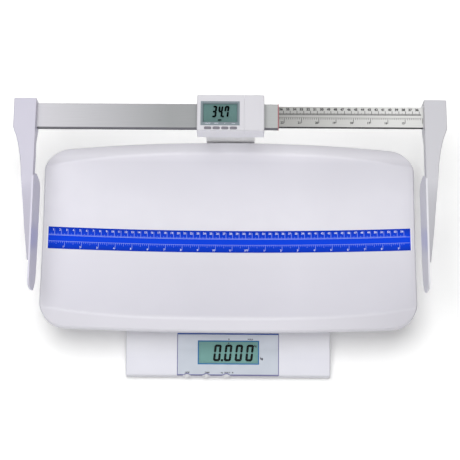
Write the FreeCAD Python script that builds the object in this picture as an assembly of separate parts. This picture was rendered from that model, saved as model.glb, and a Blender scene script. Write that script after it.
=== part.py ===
import FreeCAD, Part
import math
import os

# Digital baby weighing scale with a telescoping length rod.
# Millimetres, +Z up, +X to the right as the user reads the console, -Y towards the user.
# Everything is drawn about the middle of the tray at floor level, and is moved by FRAME_X and
# FRAME_Y when it is written, so that the origin lies under the middle of the whole object.

Vec = FreeCAD.Vector
FRAME_X, FRAME_Y = -1.2, 5.2

# --- tray -------------------------------------------------------------------------------
TRAY_HALF_X = 279.4          # middle of the tray to either end
TRAY_HALF_Y = 146.8          # middle of the tray to the bulge of either long side
TRAY_SIDE_BULGE = 9.9        # how far a long side bows out between its corners
TRAY_END_BULGE = 0.7
TRAY_CORNER_R = 39.0
TRAY_WALL = 3.2
TRAY_SKIRT = 10.0            # depth of the turned-down edge
TRAY_EDGE = 1.9
FLOOR_Z = 64.5               # lowest point of the tray's floor
FLOOR_END_RISE = 20.0        # the floor rises this much towards the ends
CREASE_Y = 127.5             # ridge between floor and land, at the middle
CREASE_PULL = 19.0           # the ridge comes in by this much towards the ends
CREASE_Z = 106.0
CREASE_DROP = 11.0
CREASE_R = 7.0
LAND_SLOPE = 0.38            # the land falls outwards from the ridge
BOSS_X, BOSS_Y, BOSS_R = 115.0, 60.0, 8.0
TAPE_X0, TAPE_X1, TAPE_HALF_Y, TAPE_T = -272.6, 273.6, 17.3, 0.35

# --- base -------------------------------------------------------------------------------
BASE_HALF_X = 153.8
BASE_FRONT, BASE_REAR = -195.7, 149.0
BASE_WALL = 2.5
BASE_EDGE_R = 2.4
FOOT_H, FOOT_R = 3.0, 11.0
FOOT_X, FOOT_FRONT_Y, FOOT_REAR_Y = 132.0, -168.0, 112.0
PAN_T = 3.0
PAN_GAP = 0.2
NOSE_Z, NOSE_R = 18.0, 3.0   # top of the short front face and its rounding
CONSOLE_DEG = 12.0
CONSOLE_LEN = 64.5
RAMP_FOOT_Y, RAMP_TOP_Y = -128.0, -104.0
DECK_Z = 50.0                # housing under the tray

# --- console, drawn as x, v up the slope from the nose, w out of the slope --------------
PANEL_HALF_X, PANEL_V0, PANEL_V1, PANEL_T = 76.4, 0.8, 63.6, 0.6
RECESS = 1.2                 # the label lies this deep between its cheeks
LCD_X0, LCD_X1, LCD_V0, LCD_V1 = -45.0, 46.2, 17.0, 52.0
LCD_LEDGE = 1.0
MODULE_W0, MODULE_W1 = -8.1, -2.5
MAIN_BOARD_V0, MAIN_BOARD_V1, BOARD_T = 17.0, 60.0, 1.6
BUTTON_X = (-61.5, -32.3, -2.4)
BUTTON_Z, BUTTON_R, BUTTON_TIP_Y = 11.6, 5.1, -197.7
BUTTON_GAP = 0.25
SCALLOP_R, SCALLOP_DEPTH = 6.3, 2.2   # scoop in the nose in front of each button

# --- weighing works ---------------------------------------------------------------------
CELL_L, CELL_W, CELL_H, CELL_Z = 130.0, 30.0, 22.0, 12.0
CELL_BOLT_X = (42.5, 57.5)
HEX_R, HEX_H = 5.6, 4.0       # heads of the load cell's bolts
SCREW_R, SCREW_H = 3.4, 1.4   # heads of the small screws
SPACER_HALF = 14.0
PLATE_Z, PLATE_T, PLATE_HALF_X, PLATE_HALF_Y = 52.0, 3.0, 70.0, 75.0
RAIL_HALF_X, RAIL_W, RAIL_H, RAIL_T = 130.0, 24.0, 9.0, 2.0

# --- battery bay in the pan, and the power inlet ----------------------------------------
CELLS, CELL_PITCH, AA_R, AA_L = 4, 15.0, 7.1, 50.4
BAY_X, BAY_Y, BAY_HALF_Y, BAY_TOP = -105.0, -60.0, 28.5, 22.0
BAY_WALL, CONTACT_T = 1.5, 0.5
AA_Z = 12.5
DOOR_HALF_X, DOOR_HALF_Y, DOOR_Z0, DOOR_Z1 = 34.0, 31.0, 3.2, 4.8
TONGUE, DOOR_GAP = 2.0, 0.3
INLET_X, INLET_Z, INLET_R = -100.0, 22.0, 4.2

# --- length rod -------------------------------------------------------------------------
ROD_Y = 160.0                # centre line of tube and ruler
TUBE_X0, TUBE_X1 = -298.8, 71.4
TUBE_W, TUBE_Z0, TUBE_Z1, TUBE_T = 37.5, 166.0, 176.6, 1.5
INDEX_T = 1.5
RULER_X0, RULER_X1 = -5.0, 307.2
RULER_W, RULER_Z0, RULER_Z1 = 32.0, 167.9, 174.7
SHOE_L, GUIDE_L = 60.0, 10.0

# --- display box of the length rod ------------------------------------------------------
CASE_X0, CASE_X1, CASE_SEAM = -47.2, 51.4, 22.0
CASE_Y0, CASE_Y1 = 131.6, 187.3
CASE_Z0, CASE_SPLIT, CASE_Z1 = 163.0, 177.6, 192.0
CASE_WALL, CASE_R, CASE_EDGE = 2.2, 1.8, 1.1
BEZEL_X0, BEZEL_X1, BEZEL_Y0, BEZEL_Y1 = -41.8, 15.3, 139.6, 177.0
GLASS_X0, GLASS_X1, GLASS_Y0, GLASS_Y1 = -37.9, 11.5, 145.1, 173.7
PILL_X = (-31.3, -18.8, -6.3, 6.2)
PILL_Y, PILL_L, PILL_W, PILL_TOP = 135.5, 10.5, 4.0, 192.5
BOARD_Z, GLASS_Z = 180.0, 188.6
SENSOR_X0, SENSOR_X1, SENSOR_HALF_Y = -20.0, 10.0, 10.0
COIN_X, COIN_R, COIN_T = 37.0, 10.0, 3.2

# --- bracket ----------------------------------------------------------------------------
BRACKET_X, BRACKET_HALF, BRACKET_T = 1.6, 36.8, 2.5
BRACKET_Z0, BRACKET_DEPTH = 8.0, 22.0

# --- arms, drawn about the rod's own middle -----------------------------------------------
ARM_SHIFT = 1.2              # the rod's middle lies this much to the right of the tray's
ARM_IN, ARM_OUT = 284.6, 316.8
ARM_DRAFT = 1.4              # the inner side leans in by this much from top to bottom
ARM_Y1, ARM_BLOCK_Y0, ARM_KINK_Y, ARM_KINK_X = 181.8, 136.4, 121.0, 311.2
ARM_Z0, ARM_BAR_Z0, ARM_Z1 = 162.0, 173.0, 190.0
FIN_Y1, FIN_Y0, FIN_X1 = 61.0, -64.0, 302.0
FIN_FALL = 5.0               # the fin's outer edge lies this much lower
PADDLE_IN, PADDLE_OUT, PADDLE_TIP_Y = 283.4, 286.0, -101.5
ARM_EDGE = 1.0


# --- helpers ----------------------------------------------------------------------------
def box(x0, x1, y0, y1, z0, z1):
    return Part.makeBox(x1 - x0, y1 - y0, z1 - z0, Vec(x0, y0, z0))


def rod(x, y, z, radius, length, axis=(0, 0, 1)):
    return Part.makeCylinder(radius, length, Vec(x, y, z), Vec(*axis))


def fuse(shapes):
    shapes = list(shapes)
    return shapes[0].multiFuse(shapes[1:]).removeSplitter()


def group(shapes):
    return Part.makeCompound(list(shapes))


def rounded_wire(points, radii):
    """A closed wire through flat points, each corner rounded by its radius (0 leaves it sharp)."""
    edges, ends = [], []
    count = len(points)
    for i, (corner, radius) in enumerate(zip(points, radii)):
        back = (points[i - 1] - corner).normalize()
        ahead = (points[(i + 1) % count] - corner).normalize()
        if not radius:
            ends.append((corner, corner, None))
            continue
        half = back.getAngle(ahead) / 2
        reach = radius / math.tan(half)
        middle = corner + (back + ahead).normalize() * (radius / math.sin(half) - radius)
        ends.append((corner + back * reach, corner + ahead * reach, middle))
    for i, (start, end, middle) in enumerate(ends):
        if middle is not None:
            edges.append(Part.Arc(start, middle, end).toShape())
        following = ends[(i + 1) % count][0]
        if end.distanceToPoint(following) > 1e-6:
            edges.append(Part.makeLine(end, following))
    return Part.Wire(edges)


def prism_x(outline, x0, x1, radii=None):
    """A closed outline of (y, z) points, drawn out along X."""
    points = [Vec(x0, y, z) for y, z in outline]
    wire = rounded_wire(points, radii or [0] * len(points))
    return Part.Face(wire).extrude(Vec(x1 - x0, 0, 0))


def prism_z(outline, z0, z1, radii=None):
    """A closed outline of (x, y) points, drawn up along Z."""
    points = [Vec(x, y, z0) for x, y in outline]
    wire = rounded_wire(points, radii or [0] * len(points))
    return Part.Face(wire).extrude(Vec(0, 0, z1 - z0))


def rectangle(x0, x1, y0, y1):
    return [(x0, y0), (x1, y0), (x1, y1), (x0, y1)]


def upright_edges(shape):
    return [e for e in shape.Edges if abs(e.tangentAt(e.FirstParameter).z) > 0.99]


def upper_rim(solid):
    """The edges round the faces that look up."""
    edges = []
    for face in solid.Faces:
        u0, u1, v0, v1 = face.ParameterRange
        if face.normalAt((u0 + u1) / 2, (v0 + v1) / 2).z > 0.5:
            edges += face.Edges
    return [e for e in edges if sum(e.isSame(other) for other in edges) == 1]


def mirrored(shape):
    return shape.mirror(Vec(0, 0, 0), Vec(1, 0, 0))


def screw_heads(places, z):
    """The six-sided heads of small screws, seated against a face that looks down at z."""
    return group(hex_head((x, y, z), (0, 0, -1), SCREW_R, SCREW_H) for x, y in places)


def hex_head(centre, axis, radius, height):
    """A hexagonal bolt head that stands on its seat and points along axis."""
    turns = [math.radians(60 * k) for k in range(6)]
    head = prism_z([(radius * math.cos(t), radius * math.sin(t)) for t in turns], 0, height)
    head.Placement = FreeCAD.Placement(Vec(*centre), FreeCAD.Rotation(Vec(0, 0, 1), Vec(*axis)))
    return head


# --- tray -------------------------------------------------------------------------------
def tray_section(x, drop, depth):
    """The tray's outline across its width at x, lowered by drop and closed depth below."""
    bend = (x / TRAY_HALF_X) ** 2
    crease_y = CREASE_Y - CREASE_PULL * abs(x / TRAY_HALF_X) ** 3
    crease_z = CREASE_Z - CREASE_DROP * bend - drop
    low_z = FLOOR_Z + FLOOR_END_RISE * bend - drop
    out_y = TRAY_HALF_Y + 25.0
    out_z = crease_z - LAND_SLOPE * (out_y - crease_y)
    upper = [Vec(x, -out_y, out_z), Vec(x, -crease_y, crease_z), Vec(x, 0, low_z),
             Vec(x, crease_y, crease_z), Vec(x, out_y, out_z)]
    lower = [p - Vec(0, 0, depth) for p in upper]
    return Part.Wire([
        Part.makeLine(upper[0], upper[1]), Part.Arc(upper[1], upper[2], upper[3]).toShape(),
        Part.makeLine(upper[3], upper[4]), Part.makeLine(upper[4], lower[4]),
        Part.makeLine(lower[4], lower[3]), Part.Arc(lower[3], lower[2], lower[1]).toShape(),
        Part.makeLine(lower[1], lower[0]), Part.makeLine(lower[0], upper[0])])


def tray_slab(drop, depth, ruled=False):
    """The curved sheet that the tray is cut from, lofted from end to end."""
    stations = [TRAY_HALF_X * 1.1 * k / 3.0 for k in range(-3, 4)]
    return Part.makeLoft([tray_section(x, drop, depth) for x in stations], True, ruled)


def tray_outline(inset):
    """The tray's plan: bowed sides and ends with rounded corners, drawn in by inset."""
    half_x, half_y = TRAY_HALF_X - inset, TRAY_HALF_Y - inset
    end_x, side_y, z0 = half_x - TRAY_END_BULGE, half_y - TRAY_SIDE_BULGE, 40.0
    corner = [Vec(-end_x, -side_y, z0), Vec(end_x, -side_y, z0),
              Vec(end_x, side_y, z0), Vec(-end_x, side_y, z0)]
    crown = [Vec(0, -half_y, z0), Vec(half_x, 0, z0), Vec(0, half_y, z0), Vec(-half_x, 0, z0)]
    sides = [Part.Arc(corner[i], crown[i], corner[(i + 1) % 4]).toShape() for i in range(4)]
    plan = Part.Face(Part.Wire(sides)).extrude(Vec(0, 0, 90))
    return plan.makeFillet(TRAY_CORNER_R - inset, upright_edges(plan))


def crease_edges(slab):
    """The two long ridges between the tray's floor and its lands."""
    long_edges = [e for e in slab.Edges if e.BoundBox.XLength > TRAY_HALF_X]
    ridges = []
    for sign in (-1, 1):
        near = [e for e in long_edges if abs(sign * e.CenterOfMass.y - CREASE_Y) < CREASE_PULL]
        ridges.append(max(near, key=lambda e: e.CenterOfMass.z))
    return ridges


def boss_places():
    return [(sx * BOSS_X, sy * BOSS_Y) for sx in (-1, 1) for sy in (-1, 1)]


def tray():
    slab = tray_slab(0.0, TRAY_SKIRT)
    slab = slab.makeFillet(CREASE_R, crease_edges(slab))
    blank = slab.common(tray_outline(0.0))
    blank = blank.makeChamfer(TRAY_EDGE, upper_rim(blank))
    hollow = tray_slab(TRAY_WALL, 2 * TRAY_SKIRT, True).common(tray_outline(TRAY_WALL))
    shell = blank.cut(hollow)
    rail_top = PLATE_Z + PLATE_T + RAIL_H
    under = tray_slab(TRAY_WALL / 2, 4 * TRAY_SKIRT, True)
    posts = [rod(x, y, rail_top, BOSS_R, 40).common(under) for x, y in boss_places()]
    return fuse([shell] + posts)


def measuring_tape():
    strip = tray_slab(-TAPE_T, TAPE_T)
    return strip.common(box(TAPE_X0, TAPE_X1, -TAPE_HALF_Y, TAPE_HALF_Y, 40, 130))


# --- base -------------------------------------------------------------------------------
def console_top(y):
    return NOSE_Z + math.tan(math.radians(CONSOLE_DEG)) * (y - BASE_FRONT)


def on_console(shape):
    """Places a shape drawn as (x, v, w) on the console's slope."""
    placed = shape.copy()
    placed.rotate(Vec(0, 0, 0), Vec(1, 0, 0), CONSOLE_DEG)
    placed.translate(Vec(0, BASE_FRONT, NOSE_Z))
    return placed


def base_body(inset, z0, rounded):
    """The base as a solid: nose, console, ramp and deck, drawn in by inset."""
    drop = inset / math.cos(math.radians(CONSOLE_DEG))
    front, rear = BASE_FRONT + inset, BASE_REAR - inset
    foot = RAMP_FOOT_Y + inset
    outline = [(front, z0), (front, console_top(front) - drop), (foot, console_top(foot) - drop),
               (RAMP_TOP_Y + inset, DECK_Z - inset), (rear, DECK_Z - inset), (rear, z0)]
    radii = [0, NOSE_R, 8.0, 8.0, 4.0, 0] if rounded else None
    return prism_x(outline, -BASE_HALF_X + inset, BASE_HALF_X - inset, radii)


def rounded_base():
    body = base_body(0.0, FOOT_H, True)
    flanks = [e for e in body.Edges if e.BoundBox.XLength < 0.01 and e.BoundBox.ZMax > FOOT_H + 0.1]
    return body.makeFillet(BASE_EDGE_R, flanks)


def case_screw_places():
    return [(sx * 144.0, y) for sx in (-1, 1) for y in (-140.0, 138.0)]


def bracket_screw_places():
    return [(BRACKET_X + sx * 22.0, z) for sx in (-1, 1) for z in (18.0, 40.0)]


def scoops():
    """The round scoops that leave room for a fingertip at the console buttons."""
    y = BASE_FRONT + SCALLOP_DEPTH - SCALLOP_R
    return [rod(x, y, FOOT_H + PAN_T + 0.5, SCALLOP_R, 30.0) for x in BUTTON_X]


def along_y(radius, y0, y1):
    """A cylinder from front to back at each console button."""
    return [rod(x, y0, BUTTON_Z, radius, y1 - y0, (0, 1, 0)) for x in BUTTON_X]


def cell_opening(grow, z0, z1):
    centre, half = sum(CELL_BOLT_X) / 2, SPACER_HALF + 3.0 + grow
    return box(centre - half, centre + half, -half, half, z0, z1)


def door_path(grow, z0, z1):
    """The way that the battery door slides out through the left side."""
    half = DOOR_HALF_Y + grow
    return box(-BASE_HALF_X - 5, BAY_X + DOOR_HALF_X + DOOR_GAP, BAY_Y - half, BAY_Y + half, z0, z1)


def base_cover():
    outer = rounded_base()
    shell = outer.cut(base_body(BASE_WALL, FOOT_H - 1, False))
    above_pan = box(-200, 200, -250, 200, FOOT_H + PAN_T, 60)
    pad_y = BASE_FRONT + SCALLOP_DEPTH + 2.0
    pads = [c.common(outer) for c in along_y(SCALLOP_R + 1.8, BASE_FRONT + 1, pad_y)]
    pads += [box(x - 4, x + 4, y - 4, y + 4, 0, 60).common(outer) for x, y in case_screw_places()]
    lip = cell_opening(2.0, DECK_Z - 1, DECK_Z + 1.2)
    cover = fuse([shell, lip] + [pad.common(above_pan) for pad in pads])
    recess = on_console(box(-PANEL_HALF_X - 0.2, PANEL_HALF_X + 0.2, -8, PANEL_V1 + 0.2, -RECESS, 12))
    window = on_console(box(LCD_X0 + LCD_LEDGE, LCD_X1 - LCD_LEDGE,
                            LCD_V0 + LCD_LEDGE, LCD_V1 - LCD_LEDGE, -6, 2))
    cuts = [recess, window, cell_opening(0.0, DECK_Z - 5, DECK_Z + 5)]
    cuts += scoops() + along_y(BUTTON_R + BUTTON_GAP, BASE_FRONT - 6, pad_y + 2.8)
    cuts.append(rod(INLET_X, BASE_REAR - 5, INLET_Z, INLET_R, 8, (0, 1, 0)))
    cuts.append(door_path(TONGUE + DOOR_GAP, 0, DOOR_Z1 + DOOR_GAP))
    return cover.cut(group(cuts))


def foot_places():
    return [(sx * FOOT_X, y) for sx in (-1, 1) for y in (FOOT_FRONT_Y, FOOT_REAR_Y)]


def base_pan():
    edge = BASE_WALL + PAN_GAP
    x1, y0, y1 = BASE_HALF_X - edge, BASE_FRONT + edge, BASE_REAR - edge
    plate = box(-x1, x1, y0, y1, FOOT_H, FOOT_H + PAN_T)
    rim = box(-x1, x1, y0 + 12, y1, FOOT_H, FOOT_H + 8)
    rim = rim.cut(box(-x1 + 2, x1 - 2, y0 + 14, y1 - 2, FOOT_H - 1, FOOT_H + 9))
    half_x = CELLS * CELL_PITCH / 2
    cuts = [box(BAY_X - half_x, BAY_X + half_x, BAY_Y - BAY_HALF_Y, BAY_Y + BAY_HALF_Y, 0, 20)]
    cuts.append(door_path(DOOR_GAP, 0, DOOR_Z1 + 0.2))
    cuts.append(door_path(TONGUE + DOOR_GAP, DOOR_Z0 + 0.5, DOOR_Z1 + 0.2))
    return fuse([plate, rim]).cut(group(cuts))


def rubber_feet():
    return group(rod(x, y, 0, FOOT_R, FOOT_H) for x, y in foot_places())


def case_screws():
    return screw_heads(case_screw_places(), FOOT_H)


# --- console ----------------------------------------------------------------------------
def console_label():
    sheet = on_console(box(-PANEL_HALF_X, PANEL_HALF_X, PANEL_V0, PANEL_V1, -RECESS, PANEL_T - RECESS))
    window = on_console(box(LCD_X0, LCD_X1, LCD_V0, LCD_V1, -4, 2))
    return sheet.cut(group([window] + scoops()))


def weight_window():
    return on_console(box(LCD_X0, LCD_X1, LCD_V0, LCD_V1, -RECESS, PANEL_T - RECESS))


def weight_display():
    return on_console(box(LCD_X0 - 3, LCD_X1 + 3, LCD_V0 - 3, LCD_V1 + 3, MODULE_W0, MODULE_W1))


def main_board():
    w0 = MODULE_W0 - BOARD_T
    board = box(-58, 58, MAIN_BOARD_V0, MAIN_BOARD_V1, w0, MODULE_W0)
    chip = box(-8, 6, 30, 44, w0 - 2.0, w0)
    plug = box(30, 48, 44, 50, w0 - 5.0, w0)
    return on_console(fuse([board, chip, plug]))


def console_button(index):
    x = BUTTON_X[index]
    stem_end = BASE_FRONT + SCALLOP_DEPTH + 3.25
    cap = rod(x, BUTTON_TIP_Y, BUTTON_Z, BUTTON_R, stem_end - BUTTON_TIP_Y, (0, 1, 0))
    front = [e for e in cap.Edges if e.BoundBox.YMax < BUTTON_TIP_Y + 0.01]
    cap = cap.makeChamfer(1.3, front)
    flange = box(x - BUTTON_R - 1.2, x + BUTTON_R + 1.2, stem_end - 1.2, stem_end,
                 FOOT_H + PAN_T + 0.4, BUTTON_Z + 4.4)
    return fuse([cap, flange])


def button_board():
    """The upright board behind the console buttons, with its three switches."""
    y = BASE_FRONT + 9.9
    board = box(BUTTON_X[0] - 9, BUTTON_X[-1] + 9, y, y + BOARD_T, FOOT_H + PAN_T, 17.0)
    bodies = [box(x - 3, x + 3, y - 2.4, y, BUTTON_Z - 3, BUTTON_Z + 3) for x in BUTTON_X]
    plungers = [box(x - 1.2, x + 1.2, y - 3.2, y, BUTTON_Z - 1.2, BUTTON_Z + 1.2) for x in BUTTON_X]
    return fuse([board] + bodies + plungers)


# --- weighing works ---------------------------------------------------------------------
def load_cell():
    """A bending-beam load cell, waisted in the middle by its dumb-bell hole."""
    bar = box(-CELL_L / 2, CELL_L / 2, -CELL_W / 2, CELL_W / 2, CELL_Z, CELL_Z + CELL_H)
    mid_z = CELL_Z + CELL_H / 2
    eyes = [rod(x, -CELL_W, mid_z, 8.2, 2 * CELL_W, (0, 1, 0)) for x in (-11, 11)]
    slot = box(-11, 11, -CELL_W, CELL_W, mid_z - 3, mid_z + 3)
    return bar.cut(group(eyes + [slot]))


def spacer(sign, z0, z1):
    centre = sign * sum(CELL_BOLT_X) / 2
    return box(centre - SPACER_HALF, centre + SPACER_HALF, -SPACER_HALF, SPACER_HALF, z0, z1)


def load_cell_bolts():
    """Two heads below the pan hold the cell down; two on the plate hold the plate to the cell."""
    under = [hex_head((-x, 0, FOOT_H), (0, 0, -1), HEX_R, FOOT_H - 0.6) for x in CELL_BOLT_X]
    over = [hex_head((x, 0, PLATE_Z + PLATE_T), (0, 0, 1), HEX_R, HEX_H) for x in CELL_BOLT_X]
    return group(under + over)


def load_plate():
    return prism_z(rectangle(-PLATE_HALF_X, PLATE_HALF_X, -PLATE_HALF_Y, PLATE_HALF_Y),
                   PLATE_Z, PLATE_Z + PLATE_T, [10.0] * 4)


def tray_rails():
    """Two folded channels, open below, that carry the tray's four bosses."""
    rails = []
    z0, z1 = PLATE_Z + PLATE_T, PLATE_Z + PLATE_T + RAIL_H
    for sign in (-1, 1):
        y = sign * BOSS_Y
        solid = box(-RAIL_HALF_X, RAIL_HALF_X, y - RAIL_W / 2, y + RAIL_W / 2, z0, z1)
        folds = [e for e in solid.Edges if e.BoundBox.ZMin > z1 - 0.1 and e.BoundBox.XLength > 50]
        hollow = box(-RAIL_HALF_X - 1, RAIL_HALF_X + 1, y - RAIL_W / 2 + RAIL_T,
                     y + RAIL_W / 2 - RAIL_T, z0 - 1, z1 - RAIL_T)
        rails.append(solid.makeFillet(2.5, folds).cut(hollow))
    return group(rails)


def tray_screws():
    z = PLATE_Z + PLATE_T + RAIL_H - RAIL_T
    return group(hex_head((x, y, z), (0, 0, -1), 4.0, 2.4) for x, y in boss_places())


# --- batteries and inlet ----------------------------------------------------------------
def battery_box():
    half_x = CELLS * CELL_PITCH / 2 + BAY_WALL
    half_y = BAY_HALF_Y + BAY_WALL
    z0, z1 = FOOT_H + PAN_T, BAY_TOP
    outer = box(BAY_X - half_x, BAY_X + half_x, BAY_Y - half_y, BAY_Y + half_y, z0, z1)
    inner = box(BAY_X - half_x + BAY_WALL, BAY_X + half_x - BAY_WALL,
                BAY_Y - BAY_HALF_Y, BAY_Y + BAY_HALF_Y, z0 - 1, z1 - BAY_WALL)
    return outer.cut(inner)


def aa_places():
    first = BAY_X - CELL_PITCH * (CELLS - 1) / 2
    return [first + CELL_PITCH * k for k in range(CELLS)]


def turned_over(shape, k, x):
    """Every second cell of the row lies the other way round."""
    if k % 2:
        shape.rotate(Vec(x, BAY_Y, 0), Vec(0, 0, 1), 180)
    return shape


def aa_cells():
    tip_y = BAY_Y + BAY_HALF_Y - CONTACT_T
    return group(turned_over(rod(x, tip_y - AA_L, AA_Z, AA_R, AA_L, (0, 1, 0)), k, x)
                 for k, x in enumerate(aa_places()))


def battery_contacts():
    """A flat plate at each cell's tip, and a bent leaf that pushes on its other end."""
    z0, z1 = AA_Z - 5, AA_Z + 5
    tip_y, tail_y = BAY_Y + BAY_HALF_Y, BAY_Y - BAY_HALF_Y
    reach = tip_y - CONTACT_T - AA_L
    leaf = [(tail_y, z0), (tail_y + CONTACT_T, z0), (reach, z1 - 3), (reach, z1 - 2.5),
            (tail_y + CONTACT_T, z0 + 1), (tail_y + CONTACT_T, z1), (tail_y, z1)]
    contacts = []
    for k, x in enumerate(aa_places()):
        plate = box(x - 5, x + 5, tip_y - CONTACT_T, tip_y, z0, z1)
        contacts += [turned_over(plate, k, x), turned_over(prism_x(leaf, x - 4, x + 4), k, x)]
    return group(contacts)


def battery_door():
    x0, x1 = BAY_X - DOOR_HALF_X, BAY_X + DOOR_HALF_X
    panel = box(x0, x1, BAY_Y - DOOR_HALF_Y, BAY_Y + DOOR_HALF_Y, DOOR_Z0, DOOR_Z1)
    half = DOOR_HALF_Y + TONGUE
    tongues = box(x0, x1, BAY_Y - half, BAY_Y + half, DOOR_Z0 + 0.7, DOOR_Z1)
    grips = [box(x0 + 6 + 3 * k, x0 + 7.5 + 3 * k, BAY_Y - 12, BAY_Y + 12, DOOR_Z0 - 1, DOOR_Z0 + 0.5)
             for k in range(5)]
    return fuse([panel, tongues]).cut(group(grips))


def power_inlet():
    """A barrel socket behind the rear wall: its round mouth fills the hole in the cover."""
    inner_y = BASE_REAR - BASE_WALL
    body = box(INLET_X - 5.5, INLET_X + 5.5, inner_y - 11, inner_y, INLET_Z - 5.5, INLET_Z + 5.5)
    mouth = rod(INLET_X, inner_y, INLET_Z, INLET_R, BASE_WALL, (0, 1, 0))
    return fuse([body, mouth]).cut(rod(INLET_X, BASE_REAR - 10, INLET_Z, 2.75, 11, (0, 1, 0)))


# --- bracket ----------------------------------------------------------------------------
def bracket():
    """A folded upright: a web with two tapered cheeks and a shelf for the display box."""
    x0, x1 = BRACKET_X - BRACKET_HALF, BRACKET_X + BRACKET_HALF
    y0, y1 = BASE_REAR, BASE_REAR + BRACKET_DEPTH
    web = box(x0, x1, y0, y0 + BRACKET_T, BRACKET_Z0, CASE_Z0)
    shelf = prism_z(rectangle(x0, x1, y0, CASE_Y1 - 1.5), CASE_Z0 - BRACKET_T, CASE_Z0, [0, 0, 6, 6])
    cheek = [(y0, BRACKET_Z0), (y0 + 8, BRACKET_Z0), (y1, 60), (y1, CASE_Z0), (y0, CASE_Z0)]
    cheeks = [prism_x(cheek, x, x + BRACKET_T) for x in (x0, x1 - BRACKET_T)]
    body = fuse([web, shelf] + cheeks)
    folds = [e for e in body.Edges
             if abs(e.CenterOfMass.y - y0) < 0.1 and e.BoundBox.YLength < 0.1 and e.BoundBox.ZLength > 100]
    return body.makeFillet(2.0, folds)


def bracket_screws():
    y = BASE_REAR + BRACKET_T
    return group(hex_head((x, y, z), (0, 1, 0), 4.2, 2.8) for x, z in bracket_screw_places())


def nut_plate():
    y1 = BASE_REAR - BASE_WALL
    return box(BRACKET_X - 30, BRACKET_X + 30, y1 - 3, y1, 12, 46)


# --- tube and ruler ---------------------------------------------------------------------
def rod_section(x0, x1, width, z0, z1):
    return box(x0, x1, ROD_Y - width / 2, ROD_Y + width / 2, z0, z1)


def rod_screw_places():
    return [BRACKET_X + sx * 28.0 for sx in (-1, 1)]


def sensor_slot(grow, z0, z1):
    half = SENSOR_HALF_Y + grow
    return box(SENSOR_X0 - grow, SENSOR_X1 + grow, ROD_Y - half, ROD_Y + half, z0, z1)


def outer_tube():
    solid = rod_section(TUBE_X0, TUBE_X1, TUBE_W, TUBE_Z0, TUBE_Z1)
    solid = solid.makeFillet(1.0, [e for e in solid.Edges if e.BoundBox.XLength > 50])
    bore = rod_section(TUBE_X0 - 1, TUBE_X1 + 1, TUBE_W - 2 * TUBE_T, TUBE_Z0 + TUBE_T, TUBE_Z1 - TUBE_T)
    return solid.cut(group([bore, sensor_slot(0.3, TUBE_Z1 - 3, TUBE_Z1 + 1)]))


def tube_guide():
    """The nylon lining of the tube's mouth."""
    outer = rod_section(TUBE_X1 - GUIDE_L, TUBE_X1, TUBE_W - 2 * TUBE_T, TUBE_Z0 + TUBE_T, TUBE_Z1 - TUBE_T)
    return outer.cut(rod_section(TUBE_X1 - 20, TUBE_X1 + 5, RULER_W + 0.4, RULER_Z0 - 0.15, RULER_Z1 + 0.15))


def index_ring():
    """The red ring on the tube's end, against which the ruler is read."""
    outer = rod_section(TUBE_X1, TUBE_X1 + INDEX_T, TUBE_W, TUBE_Z0, TUBE_Z1)
    return outer.cut(rod_section(TUBE_X1 - 1, TUBE_X1 + 5, RULER_W + 0.8, RULER_Z0 - 0.3, RULER_Z1 + 0.3))


def ruler():
    bar = rod_section(RULER_X0, RULER_X1, RULER_W, RULER_Z0, RULER_Z1)
    return bar.makeFillet(0.6, [e for e in bar.Edges if e.BoundBox.XLength > 50])


def ruler_shoe():
    """The nylon slider on the ruler's inner end; it stops against the guide when drawn right out."""
    return rod_section(RULER_X0 - SHOE_L, RULER_X0, TUBE_W - 2 * TUBE_T - 0.3,
                       TUBE_Z0 + TUBE_T + 0.15, TUBE_Z1 - TUBE_T - 0.15)


# --- display box ------------------------------------------------------------------------
def case_screw_corners():
    return [(x, y) for x in (CASE_X0 + 6.0, CASE_X1 - 6.0) for y in (CASE_Y0 + 5.0, CASE_Y1 - 5.0)]


def case_base():
    outer = prism_z(rectangle(CASE_X0, CASE_X1, CASE_Y0, CASE_Y1), CASE_Z0, CASE_SPLIT, [CASE_R] * 4)
    inner = box(CASE_X0 + CASE_WALL, CASE_X1 - CASE_WALL, CASE_Y0 + CASE_WALL, CASE_Y1 - CASE_WALL,
                TUBE_Z0, CASE_SPLIT + 1)
    return outer.cut(group([inner, rod_section(CASE_X0 - 5, CASE_X1 + 5, TUBE_W + 0.1,
                                               TUBE_Z0, TUBE_Z1 + 0.1)]))


def case_lid(x0, x1, open_right):
    """A lid that stands on the split line, rounded outside and open on the seam side."""
    outer = box(x0, x1, CASE_Y0, CASE_Y1, CASE_SPLIT + 0.1, CASE_Z1)
    seam = x1 if open_right else x0
    rounds = [e for e in outer.Edges
              if e.BoundBox.ZMax > CASE_SPLIT + 1
              and not (abs(e.BoundBox.XMin - seam) < 0.01 and abs(e.BoundBox.XMax - seam) < 0.01)]
    return outer.makeChamfer(CASE_EDGE, rounds)


def pill(x, grow, z0, z1):
    """A lozenge with round ends, the shape of the length buttons and their holes."""
    half_l, half_w = PILL_L / 2 + grow, PILL_W / 2 + grow
    plan = rectangle(x - half_l, x + half_l, PILL_Y - half_w, PILL_Y + half_w)
    return prism_z(plan, z0, z1, [half_w * 0.98] * 4)


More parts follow.
